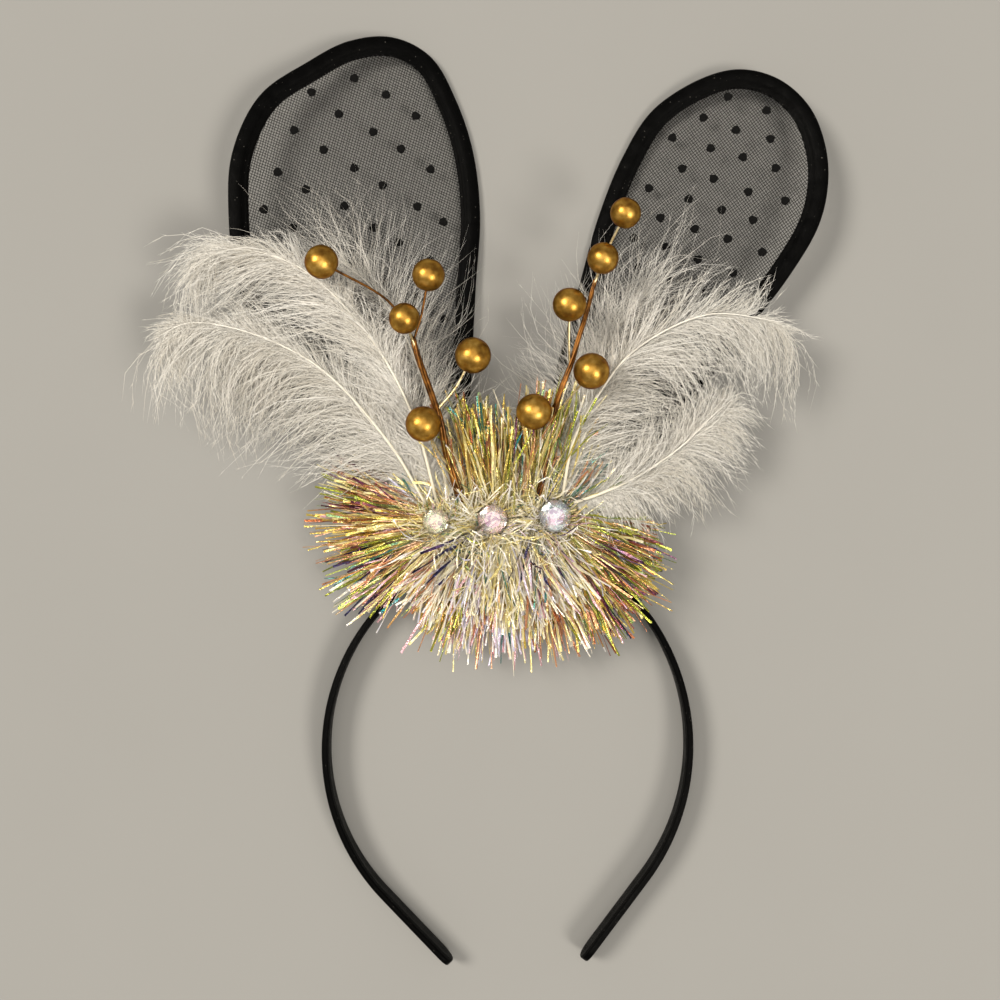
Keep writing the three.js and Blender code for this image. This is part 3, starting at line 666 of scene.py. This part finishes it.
def crystal():
    """Clear cut glass with an iridescent coating."""
    finish = Finish("clear_crystal", Transmission_Weight=0.86, IOR=1.52, Thin_Film_Thickness=420.0,
                    Thin_Film_IOR=1.9)
    finish.colour(finish.value("tint"), GEM_TINTS)
    finish.roughness(finish.noise(420.0), [(0.35, 0.02), (0.65, 0.07)])
    return finish.material


def foil():
    """Silver foil behind a gem, in patches of dark bluish grey, silver and pink: painted reflections and
    the coating's iridescence.
    """
    finish = Finish("gem_foil", Metallic=0.8, Roughness=0.14)
    patches = [(0.36, (0.34, 0.36, 0.4)), (0.5, (0.9, 0.9, 0.86)), (0.64, (0.85, 0.6, 0.66))]
    # Painted reflections: the noise patches stand in for the facets' dark and bright sparkle on the mirror
    # foil
    painted_sparkle = finish.ramp(finish.noise(560.0, detail=1.0), patches)
    finish.darken(painted_sparkle, finish.ramp(finish.value("tint"), GEM_TINTS))
    return finish.material


def floor_finish():
    """Matt pale floor."""
    finish = Finish("pale_floor", Roughness=0.85, Specular_IOR_Level=0.2)
    finish.colour(finish.noise(9.0, detail=6.0), [(0.3, (0.302, 0.3, 0.292)), (0.7, (0.31, 0.308, 0.3))])
    return finish.material


def crown_point(angle, out):
    """Point of the crown's arc, a distance out from the middle of the band's thickness."""
    radius = BAND.crown_radius + out
    turn = math.radians(angle)
    return np.array([radius * math.cos(turn), radius * math.sin(turn) - BAND.crown_radius, 0.0])


def arc(center, radius, start, end):
    angles = np.radians(np.linspace(start, end, BAND.arc_steps))
    flat = np.stack([np.cos(angles), np.sin(angles), np.zeros_like(angles)], axis=-1)
    return center + radius * flat


def arm_line(arm):
    """Middle line of one arm: an arc on from the crown's end, then a straight run to the tip."""
    center = crown_point(arm.joint, -arm.radius)
    curve = arc(center, arm.radius, arm.joint, arm.bend)
    onward = unit(curve[-1] - curve[-2])
    return np.vstack([curve, curve[-1] + onward * arm.straight])


def band_path():
    """Middle line of the band from the left tip over the crown to the right, half way up its width."""
    center = np.array([0.0, -BAND.crown_radius, 0.0])
    crown = arc(center, BAND.crown_radius, LEFT_ARM.joint, RIGHT_ARM.joint)
    line = np.vstack([arm_line(LEFT_ARM)[::-1], crown[1:], arm_line(RIGHT_ARM)[1:]])
    return Path(line + UP * BAND.width / 2)


def band_section():
    """Flat ribbon section with the satin's overlap on its inner face."""
    section = squared_circle(BAND.corners, BAND.squareness)
    section = section * (BAND.thickness / 2, BAND.width / 2)
    lap = BAND_LAP.height * hump(section[:, 1], BAND_LAP.level, BAND_LAP.width)
    section[:, 0] -= np.where(section[:, 0] < 0, lap, 0)
    return section


def add_headband(material):
    path = band_path()
    even = shares(BAND.steps)
    eased = (1 - np.cos(np.linspace(0, math.pi, BAND.steps))) / 2
    share = lerp(even, eased, BAND.tip_crowding)
    section = band_section()
    from_tip = np.minimum(share, 1 - share) * path.length
    inset = 1 - np.minimum(1, from_tip / BAND.tip_length)
    height = lerp(BAND.tip_share, 1, np.sqrt(1 - inset**2))
    shape = Shape()
    along = (share * path.length)[None, :, None]
    rings = sweep(path.at(share)[None], section, 1.0, height[None])
    shape.add(rings, along=along, around=running_length(section))
    shape.place("satin_band", [material], "satin", "headband")


def ear_height(ear, x, y):
    """Height of the ear's sloping plane."""
    base, slope = ear.base, ear.slope
    return base[2] + slope[0] * (x - base[0]) + slope[1] * (y - base[1])


def ear_normal(ear):
    return unit(np.array([-ear.slope[0], -ear.slope[1], 1.0]))


def rim_path(ear):
    feet = [crown_point(angle, RIM.foot_out)[:2] for angle in ear.legs]
    plan = [feet[0], *ear.outline, feet[1]]
    return smooth_path([(x, y, ear_height(ear, x, y)) for x, y in plan])


def rim_section():
    """Padded tube with a thinner stitched flange on its inner side."""
    section = squared_circle(RIM.corners, RIM.squareness)
    across, edge, blend = section[:, 0], FLANGE.groove, FLANGE.blend
    thin = lerp(1, FLANGE.height, smoothstep(-across, -edge - blend, -edge + blend))
    groove = FLANGE.groove_depth * hump(across, edge, FLANGE.groove_width)
    section[:, 1] *= thin * (1 - groove)
    return section


def puckers(along, rng):
    """Gathers of the binding along the rim, as a factor on its height."""
    waves = np.zeros_like(along)
    for octave in PUCKER.octaves:
        phase = rng.random() * TURN
        waves += octave * np.sin(TURN * along / (PUCKER.spacing * octave) + phase)
    return 1 + PUCKER.height * waves


def add_rim(ear, material, rng):
    path = rim_path(ear)
    share = shares(RIM.steps)
    along = share * path.length
    from_leg = np.minimum(along, path.length - along)
    leg = lerp(RIM.leg_share, 1, smoothstep(from_leg, 0, RIM.leg_length))
    section = rim_section()
    wide = RIM.width / 2 * leg
    deep = RIM.thickness / 2 * puckers(along, rng)
    rings = sweep(path.at(share)[None], section, wide[None], deep[None], ear_normal(ear))
    shape = Shape()
    around = running_length(section) * RIM.width / 2
    shape.add(rings, along=along[None, :, None], around=around)
    shape.place("satin_rim_" + ear.side, [material], "satin", "ear_rim_" + ear.side)


def net_outline(ear):
    """Edge of the net in plan, tucked under the rim's binding."""
    path = rim_path(ear)
    share = np.linspace(NET.start, 1 - NET.start, NET.edge_steps)
    inward = unit(np.cross(path.heading(share), ear_normal(ear)))
    edge = path.at(share) + inward * (RIM.width / 2 - NET.tuck)
    return edge[:, :2]


def edge_distance(outline, points):
    """Distance in plan from each point to the nearest stretch of a closed outline."""
    run = np.roll(outline, -1, axis=0) - outline
    offset = points[..., None, :] - outline
    share = np.clip((offset * run).sum(-1) / (run * run).sum(-1), 0, 1)
    return np.linalg.norm(offset - share[..., None] * run, axis=-1).min(-1)


def crossings(outline, anchor, heading):
    """Distances along a line at which it crosses a closed outline."""
    start = outline - anchor
    end = np.roll(start, -1, axis=0)
    start_side = heading[0] * start[:, 1] - heading[1] * start[:, 0]
    end_side = heading[0] * end[:, 1] - heading[1] * end[:, 0]
    hit = (start_side > 0) != (end_side > 0)
    share = start_side[hit] / (start_side[hit] - end_side[hit])
    return np.sort((start[hit] + share[:, None] * (end - start)[hit]) @ heading)


def is_inside(outline, point):
    hits = crossings(outline, point, np.array([1.0, 0.0]))
    return (hits > 0).sum() % 2 == 1


def thread_lines(outline, angle):
    """Ends in plan of the parallel threads of one family, clipped to the net's edge."""
    turn = math.radians(angle)
    heading = np.array([math.cos(turn), math.sin(turn)])
    normal = np.array([-heading[1], heading[0]])
    reach = outline @ normal
    lines = []
    for offset in np.arange(reach.min() + NET.pitch / 2, reach.max(), NET.pitch):
        hits = crossings(outline, offset * normal, heading)
        for first, last in zip(hits[::2], hits[1::2]):
            lines.append((offset * normal + first * heading, offset * normal + last * heading))
    return np.array(lines), normal


def net_height(ear, outline, plan):
    """Height of the net, which bellies up from its edge."""
    belly = NET.billow * (1 - np.exp(-edge_distance(outline, plan) / NET.rise))
    return ear_height(ear, plan[..., 0], plan[..., 1]) + belly


def thread_rings(ear, outline, angle, layer, rng):
    """Three sided threads of one family, each a little wavy."""
    share = shares(NET.stations)
    ends, normal = thread_lines(outline, angle)
    length = np.linalg.norm(ends[:, 1] - ends[:, 0], axis=-1)
    plan = lerp(ends[:, None, 0], ends[:, None, 1], share[:, None])
    phase = rng.random((len(ends), 1)) * TURN
    wobble = NET.wobble * np.sin(share * length[:, None] / NET.wave * TURN + phase)
    plan = plan + wobble[..., None] * normal
    height = net_height(ear, outline, plan) + layer * NET.thread
    paths = np.concatenate([plan, height[..., None]], axis=-1)
    radius = NET.thread / math.sqrt(3)
    return sweep(paths, circle(3), radius, radius)


def add_net(ear, threads, pile, rng):
    outline = net_outline(ear)
    shape = Shape()
    for angle, layer in zip(ear.threads, NET.layers):
        shape.add(thread_rings(ear, outline, angle, layer, rng))
    net = shape.place("net_" + ear.side, [threads], "net", "ear_net_" + ear.side)
    dots = add_dots(ear, outline, pile, rng)


def dot_places(ear, outline, rng):
    """Centres of the dots: a slanting lattice, a little uneven, clear of the net's edge."""
    lattice = ear.dots
    counts = np.arange(-DOT.lattice_reach, DOT.lattice_reach + 1)
    steps = np.stack(np.meshgrid(counts, counts), -1).reshape(-1, 2)
    plan = np.array(lattice.origin) + steps @ np.array([lattice.row, lattice.column])
    plan = plan + rng.normal(0, DOT.jitter, plan.shape)
    plan = plan[np.array([is_inside(outline, point) for point in plan])]
    return plan[edge_distance(outline, plan) > NET.tuck + DOT.radius]


def add_dots(ear, outline, pile, rng):
    """Flocked dots: low domes with uneven edges."""
    plan = dot_places(ear, outline, rng)
    turn = np.arange(DOT.corners) * TURN / DOT.corners
    phase = rng.random((len(plan), len(DOT_WAVES), 1)) * TURN
    uneven = 1.0
    for k, wave in enumerate(DOT_WAVES):
        uneven = uneven + wave.height * np.sin(wave.number * turn + phase[:, k])
    rings = []
    for ring in DOT_RINGS:
        flat = plan[:, None] + circle(DOT.corners) * (DOT.radius * ring.out * uneven)[..., None]
        height = net_height(ear, outline, plan)[:, None] + ring.level * DOT.height
        tilt = (flat - plan[:, None]) @ np.array(ear.slope)
        rings.append(np.concatenate([flat, (height + tilt)[..., None]], axis=-1))
    shape = Shape()
    shape.add(np.stack(rings, axis=1))
    return shape.place("net_dots_" + ear.side, [pile], "net")


def quill_path(feather):
    root, *rest = feather.quill
    return smooth_path([(*root, QUILL.root_z)] + [(x, y, feather.level) for x, y in rest])


class Vane:
    """A feather's barbs: they drift together along the quill and gather into wisps at their tips."""

    def __init__(self, feather, rng):
        self.feather, self.rng = feather, rng
        self.path = quill_path(feather)
        self.knots = shares(DRIFT.knots)
        changes = ("sway", "curl", "rise", "stretch", "tone")
        self.drift = {key: rng.normal(0, DRIFT[key], (2, DRIFT.knots)) for key in changes}

    def drifted(self, key, along, side):
        right, left = (np.interp(along, self.knots, values) for values in self.drift[key])
        return np.where(side > 0, left, right)

    def reach(self, along, side):
        left, right = self.feather.left.reach, self.feather.right.reach
        spread = shares(len(left))
        return np.where(side > 0, np.interp(along, spread, left), np.interp(along, spread, right))

    def angle(self, end, along, side):
        """Angle from the quill at which barbs leave it, for an end of 0, or end, for 1."""
        left, right = self.feather.left, self.feather.right
        root, tip = (np.where(side > 0, left[key][end], right[key][end]) for key in ("root", "tip"))
        return lerp(root, tip, along)

    def clear(self, points):
        """Keeps points between the floor and the feather's top."""
        points[..., 2] = np.clip(points[..., 2], FLOOR_GAP, self.feather.level + BARB.bulge)
        return points

    def comb(self, along, side, own, turn, bend, rise, wander, share):
        """Lines that leave the quill at one angle and bend to another, wandering on the way."""
        stretch = 1 + self.drifted("stretch", along, side)
        length = (self.reach(along, side) * stretch * own)[:, None]
        turn = turn + self.drifted("sway", along, side)
        bend = bend + self.drifted("curl", along, side)
        rise = (rise + self.drifted("rise", along, side))[:, None]
        leave = (self.angle(0, along, side) + turn)[:, None]
        end = (self.angle(1, along, side) + turn + bend)[:, None]
        at = lerp(VANE.start, VANE.end, along)
        heading = unit(self.path.heading(at) * (1, 1, 0))
        outward = np.cross(UP, heading) * side[:, None]
        angle = np.radians(lerp(leave, end, share) + wander[..., 0] * BARB.wander)
        step = np.diff(share, prepend=0) * length
        forward = np.cumsum(np.cos(angle) * step, axis=1)[..., None] * heading[:, None]
        sideways = np.cumsum(np.sin(angle) * step, axis=1)[..., None] * outward[:, None]
        floating = np.cumsum(wander[..., 1] * BARB.float * step, axis=1)
        upwards = (length * (rise * share - BARB.droop * share**2) + floating)[..., None] * UP
        return self.path.at(at)[:, None] + forward + sideways + upwards

    def barbs(self, share):
        """Middle lines of the barbs, with a tone for each."""
        count, rng = self.feather.barbs, self.rng
        along = rng.random(count) ** self.feather.crowding
        side = np.where(rng.random(count) < self.feather.left_share, 1.0, -1.0)
        own = lerp(*BARB.length, rng.random(count) ** BARB.length_bias)
        own = np.where(rng.random(count) < BARB.stray_share, BARB.stray_length, own)
        loose = lerp(BARB.root_turn, self.feather.loose, smoothstep(along, 0, BARB.root_zone))
        turn = rng.normal(0, 1, count) * loose
        bend = rng.normal(0, BARB.bend, count)
        rise = rng.normal(0, BARB.rise, count)
        wander = np.cumsum(rng.normal(0, 1, (count, len(share), 2)), axis=1)
        lines = self.comb(along, side, own, turn, bend, rise, wander, share)
        wisp = (np.floor(along * WISP.count) + 0.5) / WISP.count
        none = np.zeros(count)
        guides = self.comb(wisp, side, own, none, none, none, np.zeros_like(wander), share)
        pull = lerp(*WISP.gather, rng.random(count))[:, None] * share**2
        lines = self.clear(lerp(lines, guides, pull[..., None]))
        jitter = rng.normal(0, BARB.tone_jitter, count)
        return lines, np.clip(BARB.tone + self.drifted("tone", along, side) + jitter, 0, 1)

    def fuzz(self, lines, tone):
        """Roots, tips and tones of the short hairs that branch off the barbs."""
        rng = self.rng
        count = len(lines) * self.feather.fuzz
        barb = rng.integers(0, len(lines), count)
        last = lines.shape[1] - 1
        place_on = rng.random(count) ** FUZZ.place_bias * FUZZ.end * last
        station = place_on.astype(int)
        start, end = lines[barb, station], lines[barb, station + 1]
        root = lerp(start, end, (place_on - station)[:, None])
        splay = lerp(*FUZZ.splay, place_on / last)[:, None]
        heading = unit(unit(end - start) + splay * unit(rng.normal(0, 1, (count, 3))))
        length = lerp(*FUZZ.length, rng.random(count) ** FUZZ.length_bias)
        return root, self.clear(root + heading * length[:, None]), tone[barb]


def barb_rings(feather, lines, share, rng):
    """Three sided barbs, narrow at the root and tapered to the tip."""
    root = lerp(BARB.root_share, 1, smoothstep(share, 0, BARB.root_zone))
    taper = root * np.sqrt(1 + BARB.blunt_tip - share)
    wide = lerp(*BARB.width, rng.random((len(lines), 1)) ** BARB.width_bias)
    return sweep(lines, circle(3), wide * feather.width * taper / math.sqrt(3), BARB.depth * taper)


def add_feather(feather, barbs, shaft, rng):
    vane = Vane(feather, rng)
    shape = Shape()
    share = shares(BARB.stations)
    lines, tone = vane.barbs(share)
    rings = barb_rings(feather, lines, share, rng)
    shape.add(rings, 0, tone=tone[:, None, None], along=share[:, None])
    root, tip, tone = vane.fuzz(lines, tone)
    shape.add_spikes(root, tip, FUZZ.radius * feather.width, tone=tone[:, None], along=1.0)
    share = shares(QUILL.stations)
    radius = lerp(*feather.shaft, share)[None]
    line = vane.path.at(share) + UP * feather.shaft_lift
    rings = sweep(line[None], circle(QUILL.corners), radius, radius)
    shape.add(rings, 1, tone=BARB.tone, along=share[:, None])
    shape.place("plume_" + feather.name, [barbs, shaft], "down", "feather_" + feather.name)


def twisted_stem(sprig):
    """Rings of the wires that wind round each other along the stem."""
    path = smooth_path(sprig.stem)
    share = shares(STEM.stations)
    radius = lerp(*sprig.radii, share)
    across, over = sides(path.heading(share))
    out = (radius * (1 - STEM.strand_share))[:, None]
    lines = []
    for k in range(STEM.strands):
        turn = TURN * (k / STEM.strands + share * path.length / STEM.pitch)[:, None]
        lines.append(path.at(share) + out * (np.cos(turn) * across + np.sin(turn) * over))
    strand = radius * STEM.strand_share
    return sweep(np.array(lines), circle(STEM.corners), strand, strand)


def pearl_wire(spec):
    """Wire from the stem into the pearl's hole, and the hole's direction."""
    center = np.array(spec.at, float)
    toward = unit(center - np.array(spec.wire[-1], float))
    path = smooth_path([*spec.wire, center - toward * spec.radius * WIRE.sink_share])
    line = path.at(shares(WIRE.stations))
    return sweep(line[None], circle(WIRE.corners), WIRE.radius, WIRE.radius), toward


def pearl_ball(spec, axis):
    """Ball with a dimple at both ends of its drilled hole."""
    polar = np.linspace(PEARL.hole_angle, math.pi - PEARL.hole_angle, PEARL.bands)
    radius = spec.radius * np.ones_like(polar)
    for pole in (0, math.pi):
        radius *= 1 - PEARL.dimple * hump(polar, pole, PEARL.dimple_width)
    across, over = sides(axis)
    ring = circle(PEARL.corners)
    spread = ring[:, :1] * across + ring[:, 1:] * over
    out, level = radius * np.sin(polar), radius * np.cos(polar)
    rings = spread * out[:, None, None] - axis * level[:, None, None]
    return (np.array(spec.at, float) + rings)[None]


def add_sprig(sprig, copper, champagne, lacquer):
    side = sprig.side
    shape = Shape()
    shape.add(twisted_stem(sprig), 0)
    for i, spec in enumerate(sprig.pearls, 1):
        wire, axis = pearl_wire(spec)
        shape.add(wire, 0 if i in sprig.copper else 1)
        ball = Shape()
        ball.add(pearl_ball(spec, axis))
        ball.place(f"pearl_{side}_{i}", [lacquer], "pearl", f"bead_{side}_{i}")
    shape.place("sprig_" + side, [copper, champagne], "wire", "sprig_stem_" + side)


def strip_aims(tuft, sheaf, rng):
    """Root, direction and reach of each strip in plan, alike within a sheaf."""
    count, sheaves = len(sheaf), tuft.sheaves
    at = np.clip(rng.random(sheaves)[sheaf] + rng.normal(0, SHEAF.place, count), 0, 1)
    start, end = np.array(tuft.row, float)
    root = lerp(start, end, at[:, None]) + rng.normal(0, SHEAF.root, (count, 2))
    angle = lerp(*tuft.angles, at) + rng.normal(0, tuft.spread, sheaves)[sheaf]
    turn = np.radians(angle + rng.normal(0, STRIP.fan, count))
    own = lerp(STRIP.shortest, 1, np.sqrt(rng.random(count)))
    reach = lerp(*tuft.reach, at) * rng.uniform(*SHEAF.reach, sheaves)[sheaf] * own
    return root, turn, reach


def strip_lines(tuft, sheaf, rng):
    """Middle lines of a tuft's strips: bowed and crinkled, and some kinked once."""
    root, turn, reach = strip_aims(tuft, sheaf, rng)
    count = len(sheaf)
    share = shares(STRIP.stations)
    level = rng.random(tuft.sheaves)[sheaf] + rng.normal(0, SHEAF.level, count)
    low = rng.uniform(*tuft.root, count)
    height = lerp(low[:, None], lerp(*tuft.tip, np.clip(level, 0, 1))[:, None], share)
    knee = rng.uniform(*STRIP.knee, count)[:, None]
    kink = np.where(rng.random(count) < STRIP.kinked, rng.normal(0, STRIP.kink, count), 0)
    heading = turn[:, None] + np.where(share > knee, kink[:, None], 0)
    step = np.diff(share, prepend=0) * reach[:, None]
    x = np.cumsum(np.cos(heading) * step, axis=1) + root[:, :1]
    y = np.cumsum(np.sin(heading) * step, axis=1) + root[:, 1:]
    bow = rng.normal(0, tuft.bow, (count, 1, 3)) * (share * (1 - share) * 2)[:, None]
    crinkle = rng.normal(0, STRIP.crinkle, (count, STRIP.stations, 3))
    return under_gems(np.stack([x, y, height], axis=-1) + bow + crinkle)


def under_gems(lines):
    """Presses strips down where they run under a gem."""
    for gem in GEMS:
        away = np.hypot(lines[..., 0] - gem.x, lines[..., 1] - gem.y)
        beside = np.maximum(0, away - gem.radius)
        ceiling = GEM.base_z - GEM.clearance + beside * GEM.strip_slope
        lines[..., 2] = np.minimum(lines[..., 2], ceiling)
    return lines


def strip_faces(lines, rng):
    """Directions that the strips' flat sides face, which turn and flutter along each strip."""
    count, stations, _ = lines.shape
    across, over = sides(unit(lines[:, -1] - lines[:, 0]))
    start = rng.uniform(0, math.pi, (count, 1))
    twist = rng.normal(0, STRIP.twist, (count, 1)) * shares(stations)
    flutter = rng.normal(0, STRIP.flutter, (count, stations))
    turn = (start + twist + flutter)[..., None]
    return np.cos(turn) * over[:, None] + np.sin(turn) * across[:, None]


def strip_tones(tuft, sheaf, rng):
    """Places on the film's ramp of tones, drawn as often as the tuft says, many by the sheaf."""
    weights = np.array([tuft.tones.get(name, 0) for name in TONES], float)
    weights /= weights.sum()
    main = rng.choice(len(TONES), tuft.sheaves, p=weights)[sheaf]
    own = rng.choice(len(TONES), len(sheaf), p=weights)
    picks = np.where(rng.random(len(sheaf)) < STRIP.main_tone, main, own)
    return picks / (len(TONES) - 1) + rng.normal(0, STRIP.tone_jitter, len(sheaf))


def tinsel_pad():
    """Low dome under the strips."""
    center = [(PAD[axis][0] + PAD[axis][1]) / 2 for axis in "xy"]
    half = [(PAD[axis][1] - PAD[axis][0]) / 2 for axis in "xy"]
    outline = squared_circle(PAD.corners, PAD.squareness) * half
    rings = []
    for level in shares(PAD.rings):
        flat = np.array(center) + outline * max(PAD.peak, math.sqrt(1 - level**2))
        height = np.full((PAD.corners, 1), lerp(*PAD.z, level))
        rings.append(np.hstack([flat, height]))
    return np.array(rings)[None]


def add_tinsel(material, backing, rng):
    shape = Shape()
    section = np.array([(-0.5, -0.5), (0.5, -0.5), (0.5, 0.5), (-0.5, 0.5)])
    along = shares(STRIP.stations)[:, None]
    for tuft in TUFTS:
        count = tuft.count
        sheaf = rng.integers(0, tuft.sheaves, count)
        lines = strip_lines(tuft, sheaf, rng)
        facing = strip_faces(lines, rng)
        wide = lerp(*tuft.width, rng.random((count, 1)) ** STRIP.width_bias)
        tone = strip_tones(tuft, sheaf, rng)[:, None, None]
        shape.add(sweep(lines, section, wide, STRIP.thickness, facing), 0, tone=tone, along=along)
    shape.add(tinsel_pad(), 1, tone=0.5, along=0.0)
    shape.place("tinsel_burst", [material, backing], "tinsel", "tinsel", smooth=False)


def add_gem(spec, glass, back):
    """Round brilliant with a foiled back."""
    height = spec.radius * GEM.height_share
    cut = bmesh.new()
    for tier in GEM_TIERS:
        level = GEM.base_z + height * tier.level
        out = spec.radius * tier.radius
        for k in range(tier.sides):
            turn = TURN * (k + tier.turn) / tier.sides
            corner = (spec.x + out * math.cos(turn), spec.y + out * math.sin(turn), level)
            cut.verts.new(Vector(corner) * MM)
    bmesh.ops.convex_hull(cut, input=cut.verts)
    foil_z = (GEM.base_z + height * GEM.foil_level) * MM
    for face in cut.faces:
        face.material_index = int(face.calc_center_median().z < foil_z)
    name = "crystal_" + spec.name
    mesh = bpy.data.meshes.new(name)
    cut.to_mesh(mesh)
    cut.free()
    add_values(mesh, "tint", [spec.tint] * len(mesh.vertices))
    place_piece(name, mesh, [glass, back], "crystal", "gem_" + spec.name)


def add_stage():
    mesh = bpy.data.meshes.new("floor")
    half = FLOOR_SIDE / 2
    corners = [(-half, -half, 0), (half, -half, 0), (half, half, 0), (-half, half, 0)]
    mesh.from_pydata(corners, [], [(0, 1, 2, 3)])
    mesh.materials.append(floor_finish())
    show("floor", mesh)


def add_camera():
    data = bpy.data.cameras.new("camera")
    data.sensor_width = CAMERA.sensor
    data.lens = CAMERA.focal_pixels / CAMERA.image_side * CAMERA.sensor
    data.clip_start = CAMERA.clip * MM
    camera = show("camera", data)
    camera.location = Vector((CAMERA.x, CAMERA.y, CAMERA.z)) * MM
    bpy.context.scene.camera = camera


def add_lights():
    for spec in LIGHTS:
        data = bpy.data.lights.new(spec.name, "SUN")
        data.angle = math.radians(spec.across)
        data.energy = spec.strength
        data.color = LAMP_TINT
        lamp = show(spec.name, data)
        lamp.location = spec.at
        lamp.rotation_euler = (-Vector(spec.at)).to_track_quat("-Z", "Y").to_euler()
    world = bpy.data.worlds.new("studio")
    world.use_nodes = True
    Finish.fill(world.node_tree.nodes["Background"], WORLD)
    bpy.context.scene.world = world


def add_ears():
    cloth, threads, pile = satin(), tulle(), flock()
    add_headband(cloth)
    for k, ear in enumerate(EARS):
        add_rim(ear, cloth, np.random.default_rng(SEEDS.rims + k))
        add_net(ear, threads, pile, np.random.default_rng(SEEDS.nets + k))


def add_feathers():
    barbs, shaft = down(), quill()
    for k, feather in enumerate(FEATHERS):
        add_feather(feather, barbs, shaft, np.random.default_rng(SEEDS.feathers + k))


def add_sprigs():
    copper = metal("copper_wire", dark=(0.075, 0.027, 0.004), pale=(0.3, 0.12, 0.018), metallic=0.85,
                   rough=(0.3, 0.46))
    champagne = metal("champagne_wire", dark=(0.55, 0.42, 0.2), pale=(0.85, 0.74, 0.48), metallic=0.8,
                      rough=(0.22, 0.38))
    lacquer = pearl()
    for sprig in SPRIGS:
        add_sprig(sprig, copper, champagne, lacquer)


def add_gems():
    glass, back = crystal(), foil()
    for spec in GEMS:
        add_gem(spec, glass, back)


bpy.context.scene.view_settings.view_transform = "Standard"
add_camera()
add_lights()
add_stage()
add_ears()
add_feathers()
add_sprigs()
add_tinsel(film(), felt(), np.random.default_rng(SEEDS.tinsel))
add_gems()
